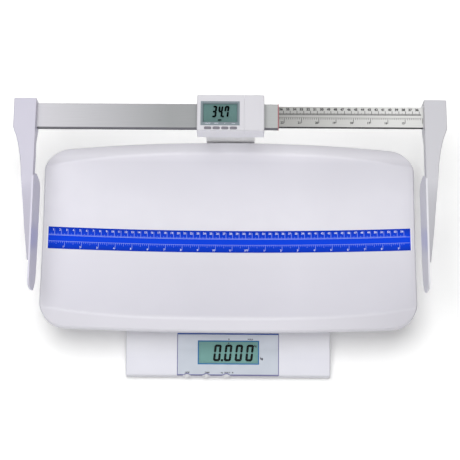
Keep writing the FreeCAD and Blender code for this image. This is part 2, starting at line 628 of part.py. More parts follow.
def case_top():
    outer = case_lid(CASE_X0, CASE_SEAM, True)
    inner = box(CASE_X0 + CASE_WALL, CASE_SEAM - CASE_WALL, CASE_Y0 + CASE_WALL, CASE_Y1 - CASE_WALL,
                CASE_SPLIT - 1, CASE_Z1 - CASE_WALL)
    cuts = [inner, box(BEZEL_X0 - 0.1, BEZEL_X1 + 0.1, BEZEL_Y0 - 0.1, BEZEL_Y1 + 0.1,
                       CASE_Z1 - 5, CASE_Z1 + 5)]
    cuts += [pill(x, 0.25, CASE_Z1 - 7, CASE_Z1 + 5) for x in PILL_X]
    cuts.append(box(CASE_SEAM - 5, CASE_SEAM + 1, 140.8, 179.2, CASE_SPLIT - 1, TUBE_Z1 + 1.8))
    return outer.cut(group(cuts))


def battery_cover():
    x0 = CASE_SEAM + 0.15
    outer = case_lid(x0, CASE_X1, False)
    inner = box(x0 - 1, CASE_X1 - CASE_WALL, CASE_Y0 + CASE_WALL, CASE_Y1 - CASE_WALL,
                CASE_SPLIT - 1, CASE_Z1 - CASE_WALL)
    groove = box(CASE_X1 - 5.1, CASE_X1 - 4.3, CASE_Y0 + 2, CASE_Y1 - 2, CASE_Z1 - 0.3, CASE_Z1 + 1)
    return outer.cut(group([inner, groove]))


def length_case_screws():
    return screw_heads(case_screw_corners(), CASE_Z0)


def rod_screws():
    z = CASE_Z0 - BRACKET_T
    return group(hex_head((x, ROD_Y, z), (0, 0, -1), 4.2, 2.8) for x in rod_screw_places())


def chassis():
    """The plate on the tube that carries the length board and the coin cell's holder."""
    plate = box(CASE_X0 + 2.6, CASE_X1 - 2.6, 141.0, 179.0, TUBE_Z1, TUBE_Z1 + 1.6)
    stands = [box(x - 2, x + 2, y - 2, y + 2, TUBE_Z1, BOARD_Z) for x in (-36, 11) for y in (144, 176)]
    return fuse([plate] + stands).cut(sensor_slot(0.3, TUBE_Z1 - 1, TUBE_Z1 + 5))


def length_board():
    board = box(-39.0, 13.6, CASE_Y0 + CASE_WALL + 0.4, CASE_Y1 - CASE_WALL - 0.6,
                BOARD_Z, BOARD_Z + BOARD_T)
    top = BOARD_Z + BOARD_T
    switches = [box(x - 3, x + 3, PILL_Y - 1.3, PILL_Y + 2.3, top, top + 3.4) for x in PILL_X]
    plungers = [box(x - 1, x + 1, PILL_Y - 1, PILL_Y + 1, top, top + 5.1) for x in PILL_X]
    return fuse([board] + switches + plungers)


def length_sensor():
    """The reading head that hangs from the board over the ruler."""
    return sensor_slot(0.0, RULER_Z1 + 0.4, BOARD_Z)


def length_display():
    z0 = BOARD_Z + BOARD_T
    return box(GLASS_X0 - 2, GLASS_X1 + 2, GLASS_Y0 - 2, GLASS_Y1 + 2, z0, GLASS_Z)


def length_window():
    return box(GLASS_X0, GLASS_X1, GLASS_Y0, GLASS_Y1, GLASS_Z, GLASS_Z + 1.0)


def length_bezel():
    """The sunk frame round the length display, bevelled towards the glass."""
    outer = prism_z(rectangle(BEZEL_X0, BEZEL_X1, BEZEL_Y0, BEZEL_Y1), GLASS_Z, CASE_Z1 + 0.3, [0.8] * 4)
    hole = box(GLASS_X0, GLASS_X1, GLASS_Y0, GLASS_Y1, GLASS_Z - 1, CASE_Z1 + 1)
    frame = outer.cut(hole)
    inner = [e for e in frame.Edges
             if e.BoundBox.ZMin > CASE_Z1 + 0.2 and e.BoundBox.XMin > BEZEL_X0 + 1
             and e.BoundBox.XMax < BEZEL_X1 - 1 and e.BoundBox.YMin > BEZEL_Y0 + 1
             and e.BoundBox.YMax < BEZEL_Y1 - 1]
    return frame.makeChamfer(1.2, inner)


def length_button(index):
    x = PILL_X[index]
    cap = pill(x, 0.0, BOARD_Z + 7.6, PILL_TOP)
    foot = box(x - 6.1, x + 6.1, PILL_Y - 1.5, PILL_Y + 1.5, BOARD_Z + 7.6, CASE_Z1 - CASE_WALL - 0.1)
    return fuse([cap, foot])


def coin_holder():
    """A tray for the coin cell, open at the top."""
    z0, half = TUBE_Z1 + 1.6, COIN_R + 0.2
    block = box(COIN_X - half - 2, COIN_X + half + 0.5, ROD_Y - half - 2, ROD_Y + half + 2, z0, z0 + 3.4)
    return block.cut(box(COIN_X - half, COIN_X + half, ROD_Y - half, ROD_Y + half, z0 + 1, z0 + 5))


def coin_cell():
    return rod(COIN_X, ROD_Y, TUBE_Z1 + 2.6, COIN_R, COIN_T)


# --- arms -------------------------------------------------------------------------------
def arm_blank():
    """The right arm: a block round the rod and a bar that tapers forward from it."""
    z0, z1 = ARM_Z0, ARM_Z1
    corner = [Vec(x, y, z0) for x, y in (
        (ARM_IN - ARM_DRAFT, ARM_Y1), (ARM_IN - ARM_DRAFT, FIN_Y1), (FIN_X1, FIN_Y1),
        (ARM_KINK_X, ARM_KINK_Y), (ARM_OUT, ARM_BLOCK_Y0), (ARM_OUT, ARM_Y1))]
    edges = [Part.makeLine(corner[i], corner[i + 1]) for i in (0, 1, 3, 4)]
    edges.insert(2, Part.Arc(corner[2], Vec(304.6, 89.0, z0), corner[3]).toShape())
    edges.append(Part.makeLine(corner[5], corner[0]))
    bar = Part.Face(Part.Wire(edges)).extrude(Vec(0, 0, z1 - z0))
    side = [(FIN_Y1 - 1, z1 + 5), (FIN_Y1 - 1, ARM_BAR_Z0), (118.0, ARM_BAR_Z0), (137.0, z0),
            (ARM_Y1 + 1, z0), (ARM_Y1 + 1, z1 + 5)]
    bar = bar.common(prism_x(side, ARM_IN - 5, ARM_OUT + 5, [0, 0, 18, 8, 0, 0]))
    bar = bar.common(drafted_side(z0, z1))
    outside = [e for e in bar.Edges
               if (e.BoundBox.ZMin > z1 - 0.01 or e.BoundBox.YMin > ARM_Y1 - 0.01)
               and e.BoundBox.YMax > FIN_Y1 + 0.1 and e.CenterOfMass.x > ARM_IN + 0.1]
    return bar.makeChamfer(ARM_EDGE, outside)


def drafted_side(z0, z1):
    """The space outside the arm's leaning inner side."""
    corner = [Vec(ARM_IN, 0, z1), Vec(ARM_OUT + 5, 0, z1), Vec(ARM_OUT + 5, 0, z0),
              Vec(ARM_IN - ARM_DRAFT, 0, z0)]
    return Part.Face(Part.makePolygon(corner + corner[:1])).extrude(Vec(0, ARM_Y1 + 5, 0))


def fin_section(y, x1, top_in, top_out, low):
    ring = [Vec(PADDLE_OUT, y, top_in), Vec(x1, y, top_out), Vec(x1, y, low + 1.0), Vec(PADDLE_OUT, y, low)]
    return Part.makePolygon(ring + ring[:1])


def fin():
    """The rib that stiffens the paddle: it narrows and thins to a blunt tip."""
    z1, z0 = ARM_Z1, ARM_BAR_Z0
    return Part.makeLoft([
        fin_section(FIN_Y1, FIN_X1, z1, z1, z0),
        fin_section(25.0, 298.4, z1, z1 - FIN_FALL, z0 + 3.0),
        fin_section(-20.0, 293.8, z1 - 0.3, z1 - FIN_FALL, z0 + 6.0),
        fin_section(FIN_Y0, 288.2, z1 - 1.6, z1 - FIN_FALL + 1, z0 + 9.0)], True, True)


def on_side(shape, sign):
    """Puts a shape drawn for the right arm (+1) or for its mirror image (-1) on the rod."""
    placed = shape.copy() if sign > 0 else mirrored(shape)
    placed.translate(Vec(ARM_SHIFT, 0, 0))
    return placed


def arm(sign):
    """The arm that grips the ruler (right, +1) or the tube (left, -1)."""
    seat = paddle_plate(ARM_IN - 5, PADDLE_OUT)
    body = on_side(fuse([arm_blank().cut(seat), fin()]), sign)
    if sign > 0:
        return body.cut(rod_section(ARM_IN - 5, RULER_X1, RULER_W, RULER_Z0, RULER_Z1))
    return body.cut(rod_section(TUBE_X0, 5 - ARM_IN, TUBE_W, TUBE_Z0, TUBE_Z1))


def arm_screws(sign):
    return on_side(screw_heads([(295.0, ROD_Y + sy * 9.0) for sy in (-1, 1)], ARM_Z0), sign)


def paddle_plate(x0, x1):
    """The upright plate against which head or heels rest, between x0 and x1."""
    outline = [(FIN_Y1, ARM_Z1), (75.4, 160.0), (75.4, 109.0), (-43.0, 115.0),
               (PADDLE_TIP_Y, 121.0), (PADDLE_TIP_Y, ARM_Z1)]
    return prism_x(outline, x0, x1, [0, 30.0, 15.0, 30.0, 44.0, 12.0])


def paddle(sign):
    return on_side(paddle_plate(PADDLE_IN, PADDLE_OUT), sign)


# --- writing ----------------------------------------------------------------------------
def sub_parts():
    pad_top = FOOT_H + PAN_T
    nodes = {
        "tray": tray(), "measuring_tape": measuring_tape(),
        "base_cover": base_cover(), "base_pan": base_pan(), "rubber_feet": rubber_feet(),
        "case_screws": case_screws(), "console_label": console_label(),
        "weight_window": weight_window(), "weight_display": weight_display(),
        "main_board": main_board(), "button_board": button_board(),
        "load_cell": load_cell(), "cell_base_spacer": spacer(-1, pad_top, CELL_Z),
        "cell_top_spacer": spacer(1, CELL_Z + CELL_H, PLATE_Z), "load_cell_bolts": load_cell_bolts(),
        "load_plate": load_plate(), "tray_rails": tray_rails(), "tray_screws": tray_screws(),
        "battery_box": battery_box(), "aa_cells": aa_cells(), "battery_contacts": battery_contacts(),
        "battery_door": battery_door(), "power_inlet": power_inlet(),
        "rear_bracket": bracket(), "bracket_screws": bracket_screws(), "bracket_nut_plate": nut_plate(),
        "outer_tube": outer_tube(), "tube_guide": tube_guide(), "index_ring": index_ring(),
        "ruler": ruler(), "ruler_shoe": ruler_shoe(),
        "length_case_base": case_base(), "length_case_top": case_top(),
        "length_battery_cover": battery_cover(), "length_case_screws": length_case_screws(),
        "rod_screws": rod_screws(), "length_chassis": chassis(), "length_board": length_board(),
        "length_sensor": length_sensor(), "length_display": length_display(),
        "length_window": length_window(), "length_bezel": length_bezel(),
        "coin_holder": coin_holder(), "coin_cell": coin_cell()}
    for k, name in enumerate(("left", "middle", "right")):
        nodes["console_button_" + name] = console_button(k)
    for k in range(len(PILL_X)):
        nodes["length_button_%d" % (k + 1)] = length_button(k)
    for sign, name in ((-1, "left"), (1, "right")):
        nodes[name + "_arm"] = arm(sign)
        nodes[name + "_paddle"] = paddle(sign)
        nodes[name + "_arm_screws"] = arm_screws(sign)
    return nodes


def main():
    os.makedirs("parts", exist_ok=True)
    for node, shape in sub_parts().items():
        placed = shape.copy()
        placed.translate(Vec(FRAME_X, FRAME_Y, 0))
        placed.exportStep("parts/%s.step" % node)
        spans = placed.BoundBox
        print("%-22s solids %d valid %s volume %9.1f  x %.1f %.1f  y %.1f %.1f  z %.1f %.1f" % (
            node, len(placed.Solids), placed.isValid(), placed.Volume, spans.XMin, spans.XMax,
            spans.YMin, spans.YMax, spans.ZMin, spans.ZMax))


main()
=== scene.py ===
import math

import bpy
from mathutils import Matrix, Vector


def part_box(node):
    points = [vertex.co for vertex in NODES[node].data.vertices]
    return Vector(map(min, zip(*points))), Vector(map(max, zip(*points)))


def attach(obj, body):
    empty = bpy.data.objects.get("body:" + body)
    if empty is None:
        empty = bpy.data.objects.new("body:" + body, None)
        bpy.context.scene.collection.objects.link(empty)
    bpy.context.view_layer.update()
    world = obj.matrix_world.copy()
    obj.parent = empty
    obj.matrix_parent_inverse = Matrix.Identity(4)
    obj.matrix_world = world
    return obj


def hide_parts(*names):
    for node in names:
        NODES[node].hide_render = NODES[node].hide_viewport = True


bl_info = {
    "name": "Baby Scale With Length Rod",
    "version": (1, 0, 0),
    "blender": (4, 5, 0),
    "location": "3D View > Sidebar > Baby Scale",
    "description": "Finishes, prints and displays of a digital baby scale, and a plain studio",
    "category": "Object",
}

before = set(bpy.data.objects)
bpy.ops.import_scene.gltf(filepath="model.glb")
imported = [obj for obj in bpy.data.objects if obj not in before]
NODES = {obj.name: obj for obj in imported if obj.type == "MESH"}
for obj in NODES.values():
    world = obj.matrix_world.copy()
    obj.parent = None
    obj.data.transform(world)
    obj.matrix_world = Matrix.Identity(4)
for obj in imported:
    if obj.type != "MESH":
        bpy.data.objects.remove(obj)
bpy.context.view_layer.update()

MM = 0.001
TRAY_MIDDLE = Vector((-0.0012, 0.0052))            # middle of the tray, seen from above
CONSOLE_EDGE = Vector((-0.0012, -0.1905, 0.018))   # middle of the foot of the console's slope
CONSOLE_SLOPE = math.radians(12.0)
LABEL_FACE = -0.6 * MM         # label's face, out of the console's slope
GLASS_FACE = -2.5 * MM         # face of the weight display, out of the slope
LABEL_HEAD = 63.4              # label's upper edge, in millimetres up the slope
HEAD_LINE = 2.0                # width of the blue line along that edge, in millimetres
BUTTON_HEIGHT = 11.6 * MM      # middle of the console buttons over the floor
BUTTON_RADIUS = 5.1 * MM
BUTTON_DOME = 3.4 * MM         # rounding of the console buttons' tips
BUTTON_PLACES = (-61.5, -32.3, -2.4)   # console buttons, in millimetres from the console's middle
INCH = 2.54                    # centimetres in an inch
TAPE_ZERO = -0.27236           # where the tape's print begins
TAPE_CM = 9.885 * MM           # one printed centimetre, seen from above
TAPE_BAND = {"Y": (0.0050, 0.0171), "X": (-0.0004, 0.2715)}   # the blue band's middle and half width
OVER_TRAY = 0.15               # height from which print is dropped on the tape
LAMP_AIM = Vector((0.0, 0.0, 0.10))
FLOOR_HALF = 6.0
# how far from the tray's middle line the tape's long ticks begin and end, and its figures stand
CM_FOOT, CM_HEAD, CM_FIGURES = 3.9 * MM, 13.8 * MM, 12.3 * MM
INCH_FOOT, INCH_HEAD, INCH_FIGURES = -5.5 * MM, -14.6 * MM, -14.0 * MM
CAPITAL = 0.72                 # height of a figure, as a share of the font's size
LCD_BARS = {                   # the bars that each figure lights
    "0": "abcdef", "1": "bc", "2": "abged", "3": "abgcd", "4": "fgbc",
    "5": "afgcd", "6": "afgcde", "7": "fabc", "8": "abcdefg", "9": "abcdfg"}


# ---- settings ----
class ShellColours(bpy.types.PropertyGroup):
    tray: bpy.props.FloatVectorProperty(
        name="Tray", description="Colour of the moulded tray", subtype="COLOR", size=3,
        min=0.0, max=1.0, default=(0.740, 0.728, 0.785))
    base: bpy.props.FloatVectorProperty(
        name="Base", description="Colour of the moulded base", subtype="COLOR", size=3,
        min=0.0, max=1.0, default=(0.785, 0.785, 0.850))
    left_arm: bpy.props.FloatVectorProperty(
        name="Left arm", description="Colour of the fixed arm and its paddle", subtype="COLOR", size=3,
        min=0.0, max=1.0, default=(0.605, 0.587, 0.685))
    right_arm: bpy.props.FloatVectorProperty(
        name="Right arm", description="Colour of the sliding arm and its paddle", subtype="COLOR", size=3,
        min=0.0, max=1.0, default=(0.600, 0.595, 0.632))
    display_box: bpy.props.FloatVectorProperty(
        name="Display box", description="Colour of the box on the length rod", subtype="COLOR", size=3,
        min=0.0, max=1.0, default=(0.665, 0.655, 0.695))
    grain: bpy.props.FloatProperty(
        name="Grain", description="Width of one grain of the moulded texture", subtype="DISTANCE",
        unit="LENGTH", min=0.0001, max=0.01, default=0.0009)


class PrintSizes(bpy.types.PropertyGroup):
    tape_ink: bpy.props.FloatVectorProperty(
        name="Tape blue", description="Printed ground of the measuring tape", subtype="COLOR", size=3,
        min=0.0, max=1.0, default=(0.0, 0.055, 0.770))
    tick_width: bpy.props.FloatProperty(
        name="Tick width", description="Width of a long tick of the tape", subtype="DISTANCE",
        unit="LENGTH", min=0.0001, max=0.003, default=0.00060)
    figure_height: bpy.props.FloatProperty(
        name="Figure height", description="Height of the tape's figures", subtype="DISTANCE",
        unit="LENGTH", min=0.001, max=0.01, default=0.0030)
    ruler_figure: bpy.props.FloatProperty(
        name="Ruler figure", description="Height of the ruler's figures", subtype="DISTANCE",
        unit="LENGTH", min=0.001, max=0.01, default=0.0037)


class DisplayReadings(bpy.types.PropertyGroup):
    weight: bpy.props.StringProperty(
        name="Weight", description="Reading of the weight display", default="0.000")
    length: bpy.props.StringProperty(
        name="Length", description="Reading of the length display", default="34.7")
    slant: bpy.props.FloatProperty(
        name="Slant", description="Lean of the digits", subtype="ANGLE", unit="ROTATION",
        min=0.0, max=0.5, default=math.radians(6.0))


class StudioSettings(bpy.types.PropertyGroup):
    camera_place: bpy.props.FloatVectorProperty(
        name="Camera place", description="Where the camera stands", subtype="TRANSLATION",
        unit="LENGTH", size=3, default=(0.015239, -0.673870, 2.361328))
    camera_turn: bpy.props.FloatVectorProperty(
        name="Camera turn", description="Yaw, downward pitch and roll of the camera", subtype="EULER",
        unit="ROTATION", size=3,
        default=(math.radians(-1.2071), math.radians(73.0981), math.radians(-0.7983)))
    lens: bpy.props.FloatProperty(
        name="Lens", description="Focal length in millimetres", min=20.0, max=400.0, default=124.165)
    sky: bpy.props.FloatProperty(
        name="Sky", description="Strength of the even light from all round", min=0.0, max=2.0,
        default=0.20)
    key_light: bpy.props.FloatProperty(
        name="Key light", description="Power of the large lamp overhead",
        subtype="POWER", unit="POWER", min=0.0, default=64.0)
    front_light: bpy.props.FloatProperty(
        name="Front light", description="Power of the lamp at the front",
        subtype="POWER", unit="POWER", min=0.0, default=20.0)
    back_light: bpy.props.FloatProperty(
        name="Back light", description="Power of the lamp behind the scale",
        subtype="POWER", unit="POWER", min=0.0, default=17.0)


# ---- finishes ----
def new_finish(name):
    finish = bpy.data.materials.new(name)
    finish.use_nodes = True
    tree = finish.node_tree
    tree.nodes.clear()
    out = tree.nodes.new("ShaderNodeOutputMaterial")
    skin = tree.nodes.new("ShaderNodeBsdfPrincipled")
    tree.links.new(skin.outputs["BSDF"], out.inputs["Surface"])
    return finish, tree, skin


def place_on(tree, stretch=(1.0, 1.0, 1.0)):
    """Object coordinates, stretched so that a pattern can run one way."""
    where = tree.nodes.new("ShaderNodeTexCoord")
    mapping = tree.nodes.new("ShaderNodeMapping")
    mapping.inputs["Scale"].default_value = stretch
    tree.links.new(where.outputs["Object"], mapping.inputs["Vector"])
    return mapping.outputs["Vector"]


def clouds(tree, where, scale, detail=3.0):
    noise = tree.nodes.new("ShaderNodeTexNoise")
    noise.inputs["Scale"].default_value = scale
    noise.inputs["Detail"].default_value = detail
    tree.links.new(where, noise.inputs["Vector"])
    return noise.outputs["Fac"]


def blend_colours(tree, amount, first, second):
    mix = tree.nodes.new("ShaderNodeMix")
    mix.data_type = "RGBA"
    tree.links.new(amount, mix.inputs["Factor"])
    for socket, colour in ((mix.inputs[6], first), (mix.inputs[7], second)):
        if isinstance(colour, bpy.types.NodeSocket):
            tree.links.new(colour, socket)
        else:
            socket.default_value = (*colour[:3], 1.0)
    return mix.outputs[2]


def spread(tree, amount, low, high, start=0.3, end=0.7):
    ramp = tree.nodes.new("ShaderNodeMapRange")
    for socket, value in (("From Min", start), ("From Max", end), ("To Min", low), ("To Max", high)):
        ramp.inputs[socket].default_value = value
    tree.links.new(amount, ramp.inputs["Value"])
    return ramp.outputs["Result"]


def relief(tree, skin, height, depth, strength=1.0):
    bump = tree.nodes.new("ShaderNodeBump")
    bump.inputs["Strength"].default_value = strength
    bump.inputs["Distance"].default_value = depth
    tree.links.new(height, bump.inputs["Height"])
    tree.links.new(bump.outputs["Normal"], skin.inputs["Normal"])


def axis_of(tree, vector, axis):
    split = tree.nodes.new("ShaderNodeSeparateXYZ")
    tree.links.new(vector, split.inputs["Vector"])
    return split.outputs[axis]


def worked_out(tree, kind, value, other):
    step = tree.nodes.new("ShaderNodeMath")
    step.operation = kind
    tree.links.new(value, step.inputs[0])
    step.inputs[1].default_value = other
    return step.outputs["Value"]


def shade(colour, factor):
    return tuple(min(1.0, channel * factor) for channel in colour[:3])


def mottle(tree, skin, pattern, colour, low, high):
    """Colours a skin between two shades of one colour, as a pattern runs."""
    base = blend_colours(tree, spread(tree, pattern, 0.0, 1.0), shade(colour, low), shade(colour, high))
    tree.links.new(base, skin.inputs["Base Color"])


def roughen(tree, skin, pattern, low, high):
    """Lets a skin's roughness run between two values, as a pattern runs."""
    tree.links.new(spread(tree, pattern, low, high), skin.inputs["Roughness"])


def skin_of(finish):
    """The shader of a finish, and what gives it its colour so far."""
    skin = next(n for n in finish.node_tree.nodes if n.type == "BSDF_PRINCIPLED")
    return skin, skin.inputs["Base Color"].links[0].from_socket


def moulded_plastic(name, colour, roughness=0.40, grain=0.0009, depth=0.00002, tone=0.012):
    """A moulded shell: fine grain, faint flow marks and slightly uneven gloss."""
    finish, tree, skin = new_finish(name)
    where = place_on(tree)
    mottle(tree, skin, clouds(tree, where, 9.0, 2.0), colour, 1 - tone, 1 + tone)
    roughen(tree, skin, clouds(tree, where, 55.0, 4.0), roughness - 0.04, roughness + 0.05)
    relief(tree, skin, clouds(tree, where, 1.0 / grain, 2.0), depth)
    skin.inputs["IOR"].default_value = 1.47
    return finish


def brushed_metal(name, colour, along="X", metallic=0.85, roughness=0.36, tone=0.06):
    """Drawn metal with fine scratches that run along one axis."""
    finish, tree, skin = new_finish(name)
    coarse, fine = 4.0, 420.0
    stretch = [coarse if axis == along else fine for axis in "XYZ"]
    lines = clouds(tree, place_on(tree, stretch), 6.0, 5.0)
    mottle(tree, skin, lines, colour, 1 - tone, 1 + tone)
    roughen(tree, skin, lines, roughness - 0.05, roughness + 0.07)
    relief(tree, skin, lines, 0.00001, 0.6)
    skin.inputs["Metallic"].default_value = metallic
    return finish


def toned_along(finish, first, last, ends, axis="X"):
    """Paints light and shade into a finish's colour along one axis, from one end of the given reach to the
    other.
    """
    tree = finish.node_tree
    skin, plain = skin_of(finish)
    where = tree.nodes.new("ShaderNodeTexCoord")
    share = spread(tree, axis_of(tree, where.outputs["Object"], axis), 0.0, 1.0, *ends)
    painted_light_and_shade = blend_colours(tree, share, first, last)
    mix = tree.nodes.new("ShaderNodeMix")
    mix.data_type = "RGBA"
    mix.blend_type = "MULTIPLY"
    mix.inputs["Factor"].default_value = 1.0
    tree.links.new(plain, mix.inputs[6])
    tree.links.new(painted_light_and_shade, mix.inputs[7])
    tree.links.new(mix.outputs[2], skin.inputs["Base Color"])


def fronted(finish, colour, limit=-0.5):
    """Paints a colour on what faces the front: painted shade where it is darker, such as a bar's dark front
    edge, and painted light where it is lighter.
    """
    tree = finish.node_tree
    skin, plain = skin_of(finish)
    where = tree.nodes.new("ShaderNodeTexCoord")
    front = worked_out(tree, "LESS_THAN", axis_of(tree, where.outputs["Normal"], "Y"), limit)
    tree.links.new(blend_colours(tree, front, plain, colour), skin.inputs["Base Color"])


def printed_film(name, colour, roughness=0.34, speck=0.02, gloss_level=0.25):
    """A thin printed film: nearly even ink with a little mottle and a soft gloss."""
    finish, tree, skin = new_finish(name)
    skin.inputs["Specular IOR Level"].default_value = gloss_level
    where = place_on(tree)
    specks = clouds(tree, where, 900.0, 3.0)
    mottle(tree, skin, specks, colour, 1 - speck, 1 + speck)
    roughen(tree, skin, clouds(tree, where, 60.0, 3.0), roughness - 0.03, roughness + 0.05)
    relief(tree, skin, specks, 0.000004, 0.4)
    return finish


def tape_film(name, ink):
    """The tape's blue band, deeper towards its edges, with a pale margin round it."""
    edge, deepens, margin = shade(ink, 0.60), 0.004, (0.92, 0.92, 0.94)
    finish = printed_film(name, ink, 0.45, gloss_level=0.05)
    tree = finish.node_tree
    where = tree.nodes.new("ShaderNodeTexCoord")
    for axis, (middle, reach) in TAPE_BAND.items():
        skin, plain = skin_of(finish)
        offset = worked_out(tree, "SUBTRACT", axis_of(tree, where.outputs["Object"], axis), middle)
        away = worked_out(tree, "ABSOLUTE", offset, 0.0)
        if axis == "Y":
            plain = blend_colours(tree, spread(tree, away, 0.0, 1.0, deepens, reach), plain, edge)
        outside = worked_out(tree, "GREATER_THAN", away, reach)
        tree.links.new(blend_colours(tree, outside, plain, margin), skin.inputs["Base Color"])
    return finish


def label_film(name):
    """Silver label stock, blue-grey, with painted light that makes it lighter at its upper edge, where the
    tray's shadow falls.
    """
    finish, tree, skin = new_finish(name)
    where = place_on(tree)
    low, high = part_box("console_label")
    # painted light: the ground grows lighter from here to the label's upper edge, against the tray's shadow
    painted_light_from = low.y + (high.y - low.y) * 0.6
    rise = spread(tree, axis_of(tree, where, "Y"), 0.0, 1.0, painted_light_from, high.y)
    ground = blend_colours(tree, rise, (0.420, 0.455, 0.512), (0.640, 0.680, 0.755))
    flakes = clouds(tree, where, 2600.0, 2.0)
    base = blend_colours(tree, spread(tree, flakes, 0.0, 0.10), ground, (0.53, 0.55, 0.59))
    tree.links.new(base, skin.inputs["Base Color"])
    roughen(tree, skin, clouds(tree, where, 80.0), 0.36, 0.44)
    relief(tree, skin, flakes, 0.000005, 0.5)
    skin.inputs["Metallic"].default_value = 0.15
    return finish


def clear_window(name):
    """Thin clear plastic: mostly see-through, with faint wipe marks in its gloss."""
    finish, tree, skin = new_finish(name)
    where = place_on(tree, (30.0, 4.0, 30.0))
    wipes = clouds(tree, where, 4.0, 4.0)
    base = blend_colours(tree, wipes, (0.80, 0.88, 0.86), (0.88, 0.93, 0.92))
    tree.links.new(base, skin.inputs["Base Color"])
    roughen(tree, skin, wipes, 0.05, 0.12)
    skin.inputs["Alpha"].default_value = 0.008
    skin.inputs["Specular IOR Level"].default_value = 0.012
    return finish


def display_glass(name, colour):
    """The grey-green ground of a reflective liquid crystal display."""
    finish, tree, skin = new_finish(name)
    where = place_on(tree)
    mottle(tree, skin, clouds(tree, where, 40.0, 2.0), colour, 0.96, 1.05)
    sparkle = clouds(tree, where, 3500.0, 2.0)
    roughen(tree, skin, sparkle, 0.30, 0.42)
    skin.inputs["Specular IOR Level"].default_value = 0.06
    relief(tree, skin, sparkle, 0.000004, 0.3)
    return finish


def rubber_finish(name, colour):
    finish, tree, skin = new_finish(name)
    pits = clouds(tree, place_on(tree), 1400.0, 4.0)
    mottle(tree, skin, pits, colour, 0.8, 1.2)
    roughen(tree, skin, pits, 0.65, 0.80)
    relief(tree, skin, pits, 0.00005)
    return finish


def board_finish(name):
    """Green solder mask with paler tracks and bright pads."""
    finish, tree, skin = new_finish(name)
    where = place_on(tree)
    tracks = tree.nodes.new("ShaderNodeTexWave")
    tracks.inputs["Scale"].default_value = 260.0
    tracks.inputs["Distortion"].default_value = 3.0
    tree.links.new(where, tracks.inputs["Vector"])
    pads = tree.nodes.new("ShaderNodeTexVoronoi")
    pads.inputs["Scale"].default_value = 320.0
    tree.links.new(where, pads.inputs["Vector"])
    mask = blend_colours(tree, tracks.outputs["Fac"], (0.010, 0.085, 0.035), (0.020, 0.150, 0.060))
    dots = worked_out(tree, "LESS_THAN", pads.outputs["Distance"], 0.16)
    tree.links.new(blend_colours(tree, dots, mask, (0.62, 0.60, 0.52)), skin.inputs["Base Color"])
    tree.links.new(spread(tree, tracks.outputs["Fac"], 0.30, 0.42, 0.0, 1.0), skin.inputs["Roughness"])
    relief(tree, skin, tracks.outputs["Fac"], 0.00003)
    return finish


def wrapped_cell(name):
    """A battery's plain film wrap, with its coloured band at one end."""
    finish, tree, skin = new_finish(name)
    where = place_on(tree)
    band_begins = -0.042
    band = worked_out(tree, "GREATER_THAN", axis_of(tree, where, "Y"), band_begins)
    base = blend_colours(tree, band, (0.05, 0.055, 0.065), (0.42, 0.30, 0.10))
    tree.links.new(base, skin.inputs["Base Color"])
    roughen(tree, skin, clouds(tree, where, 90.0), 0.22, 0.34)
    relief(tree, skin, clouds(tree, where, 500.0), 0.00001)
    return finish


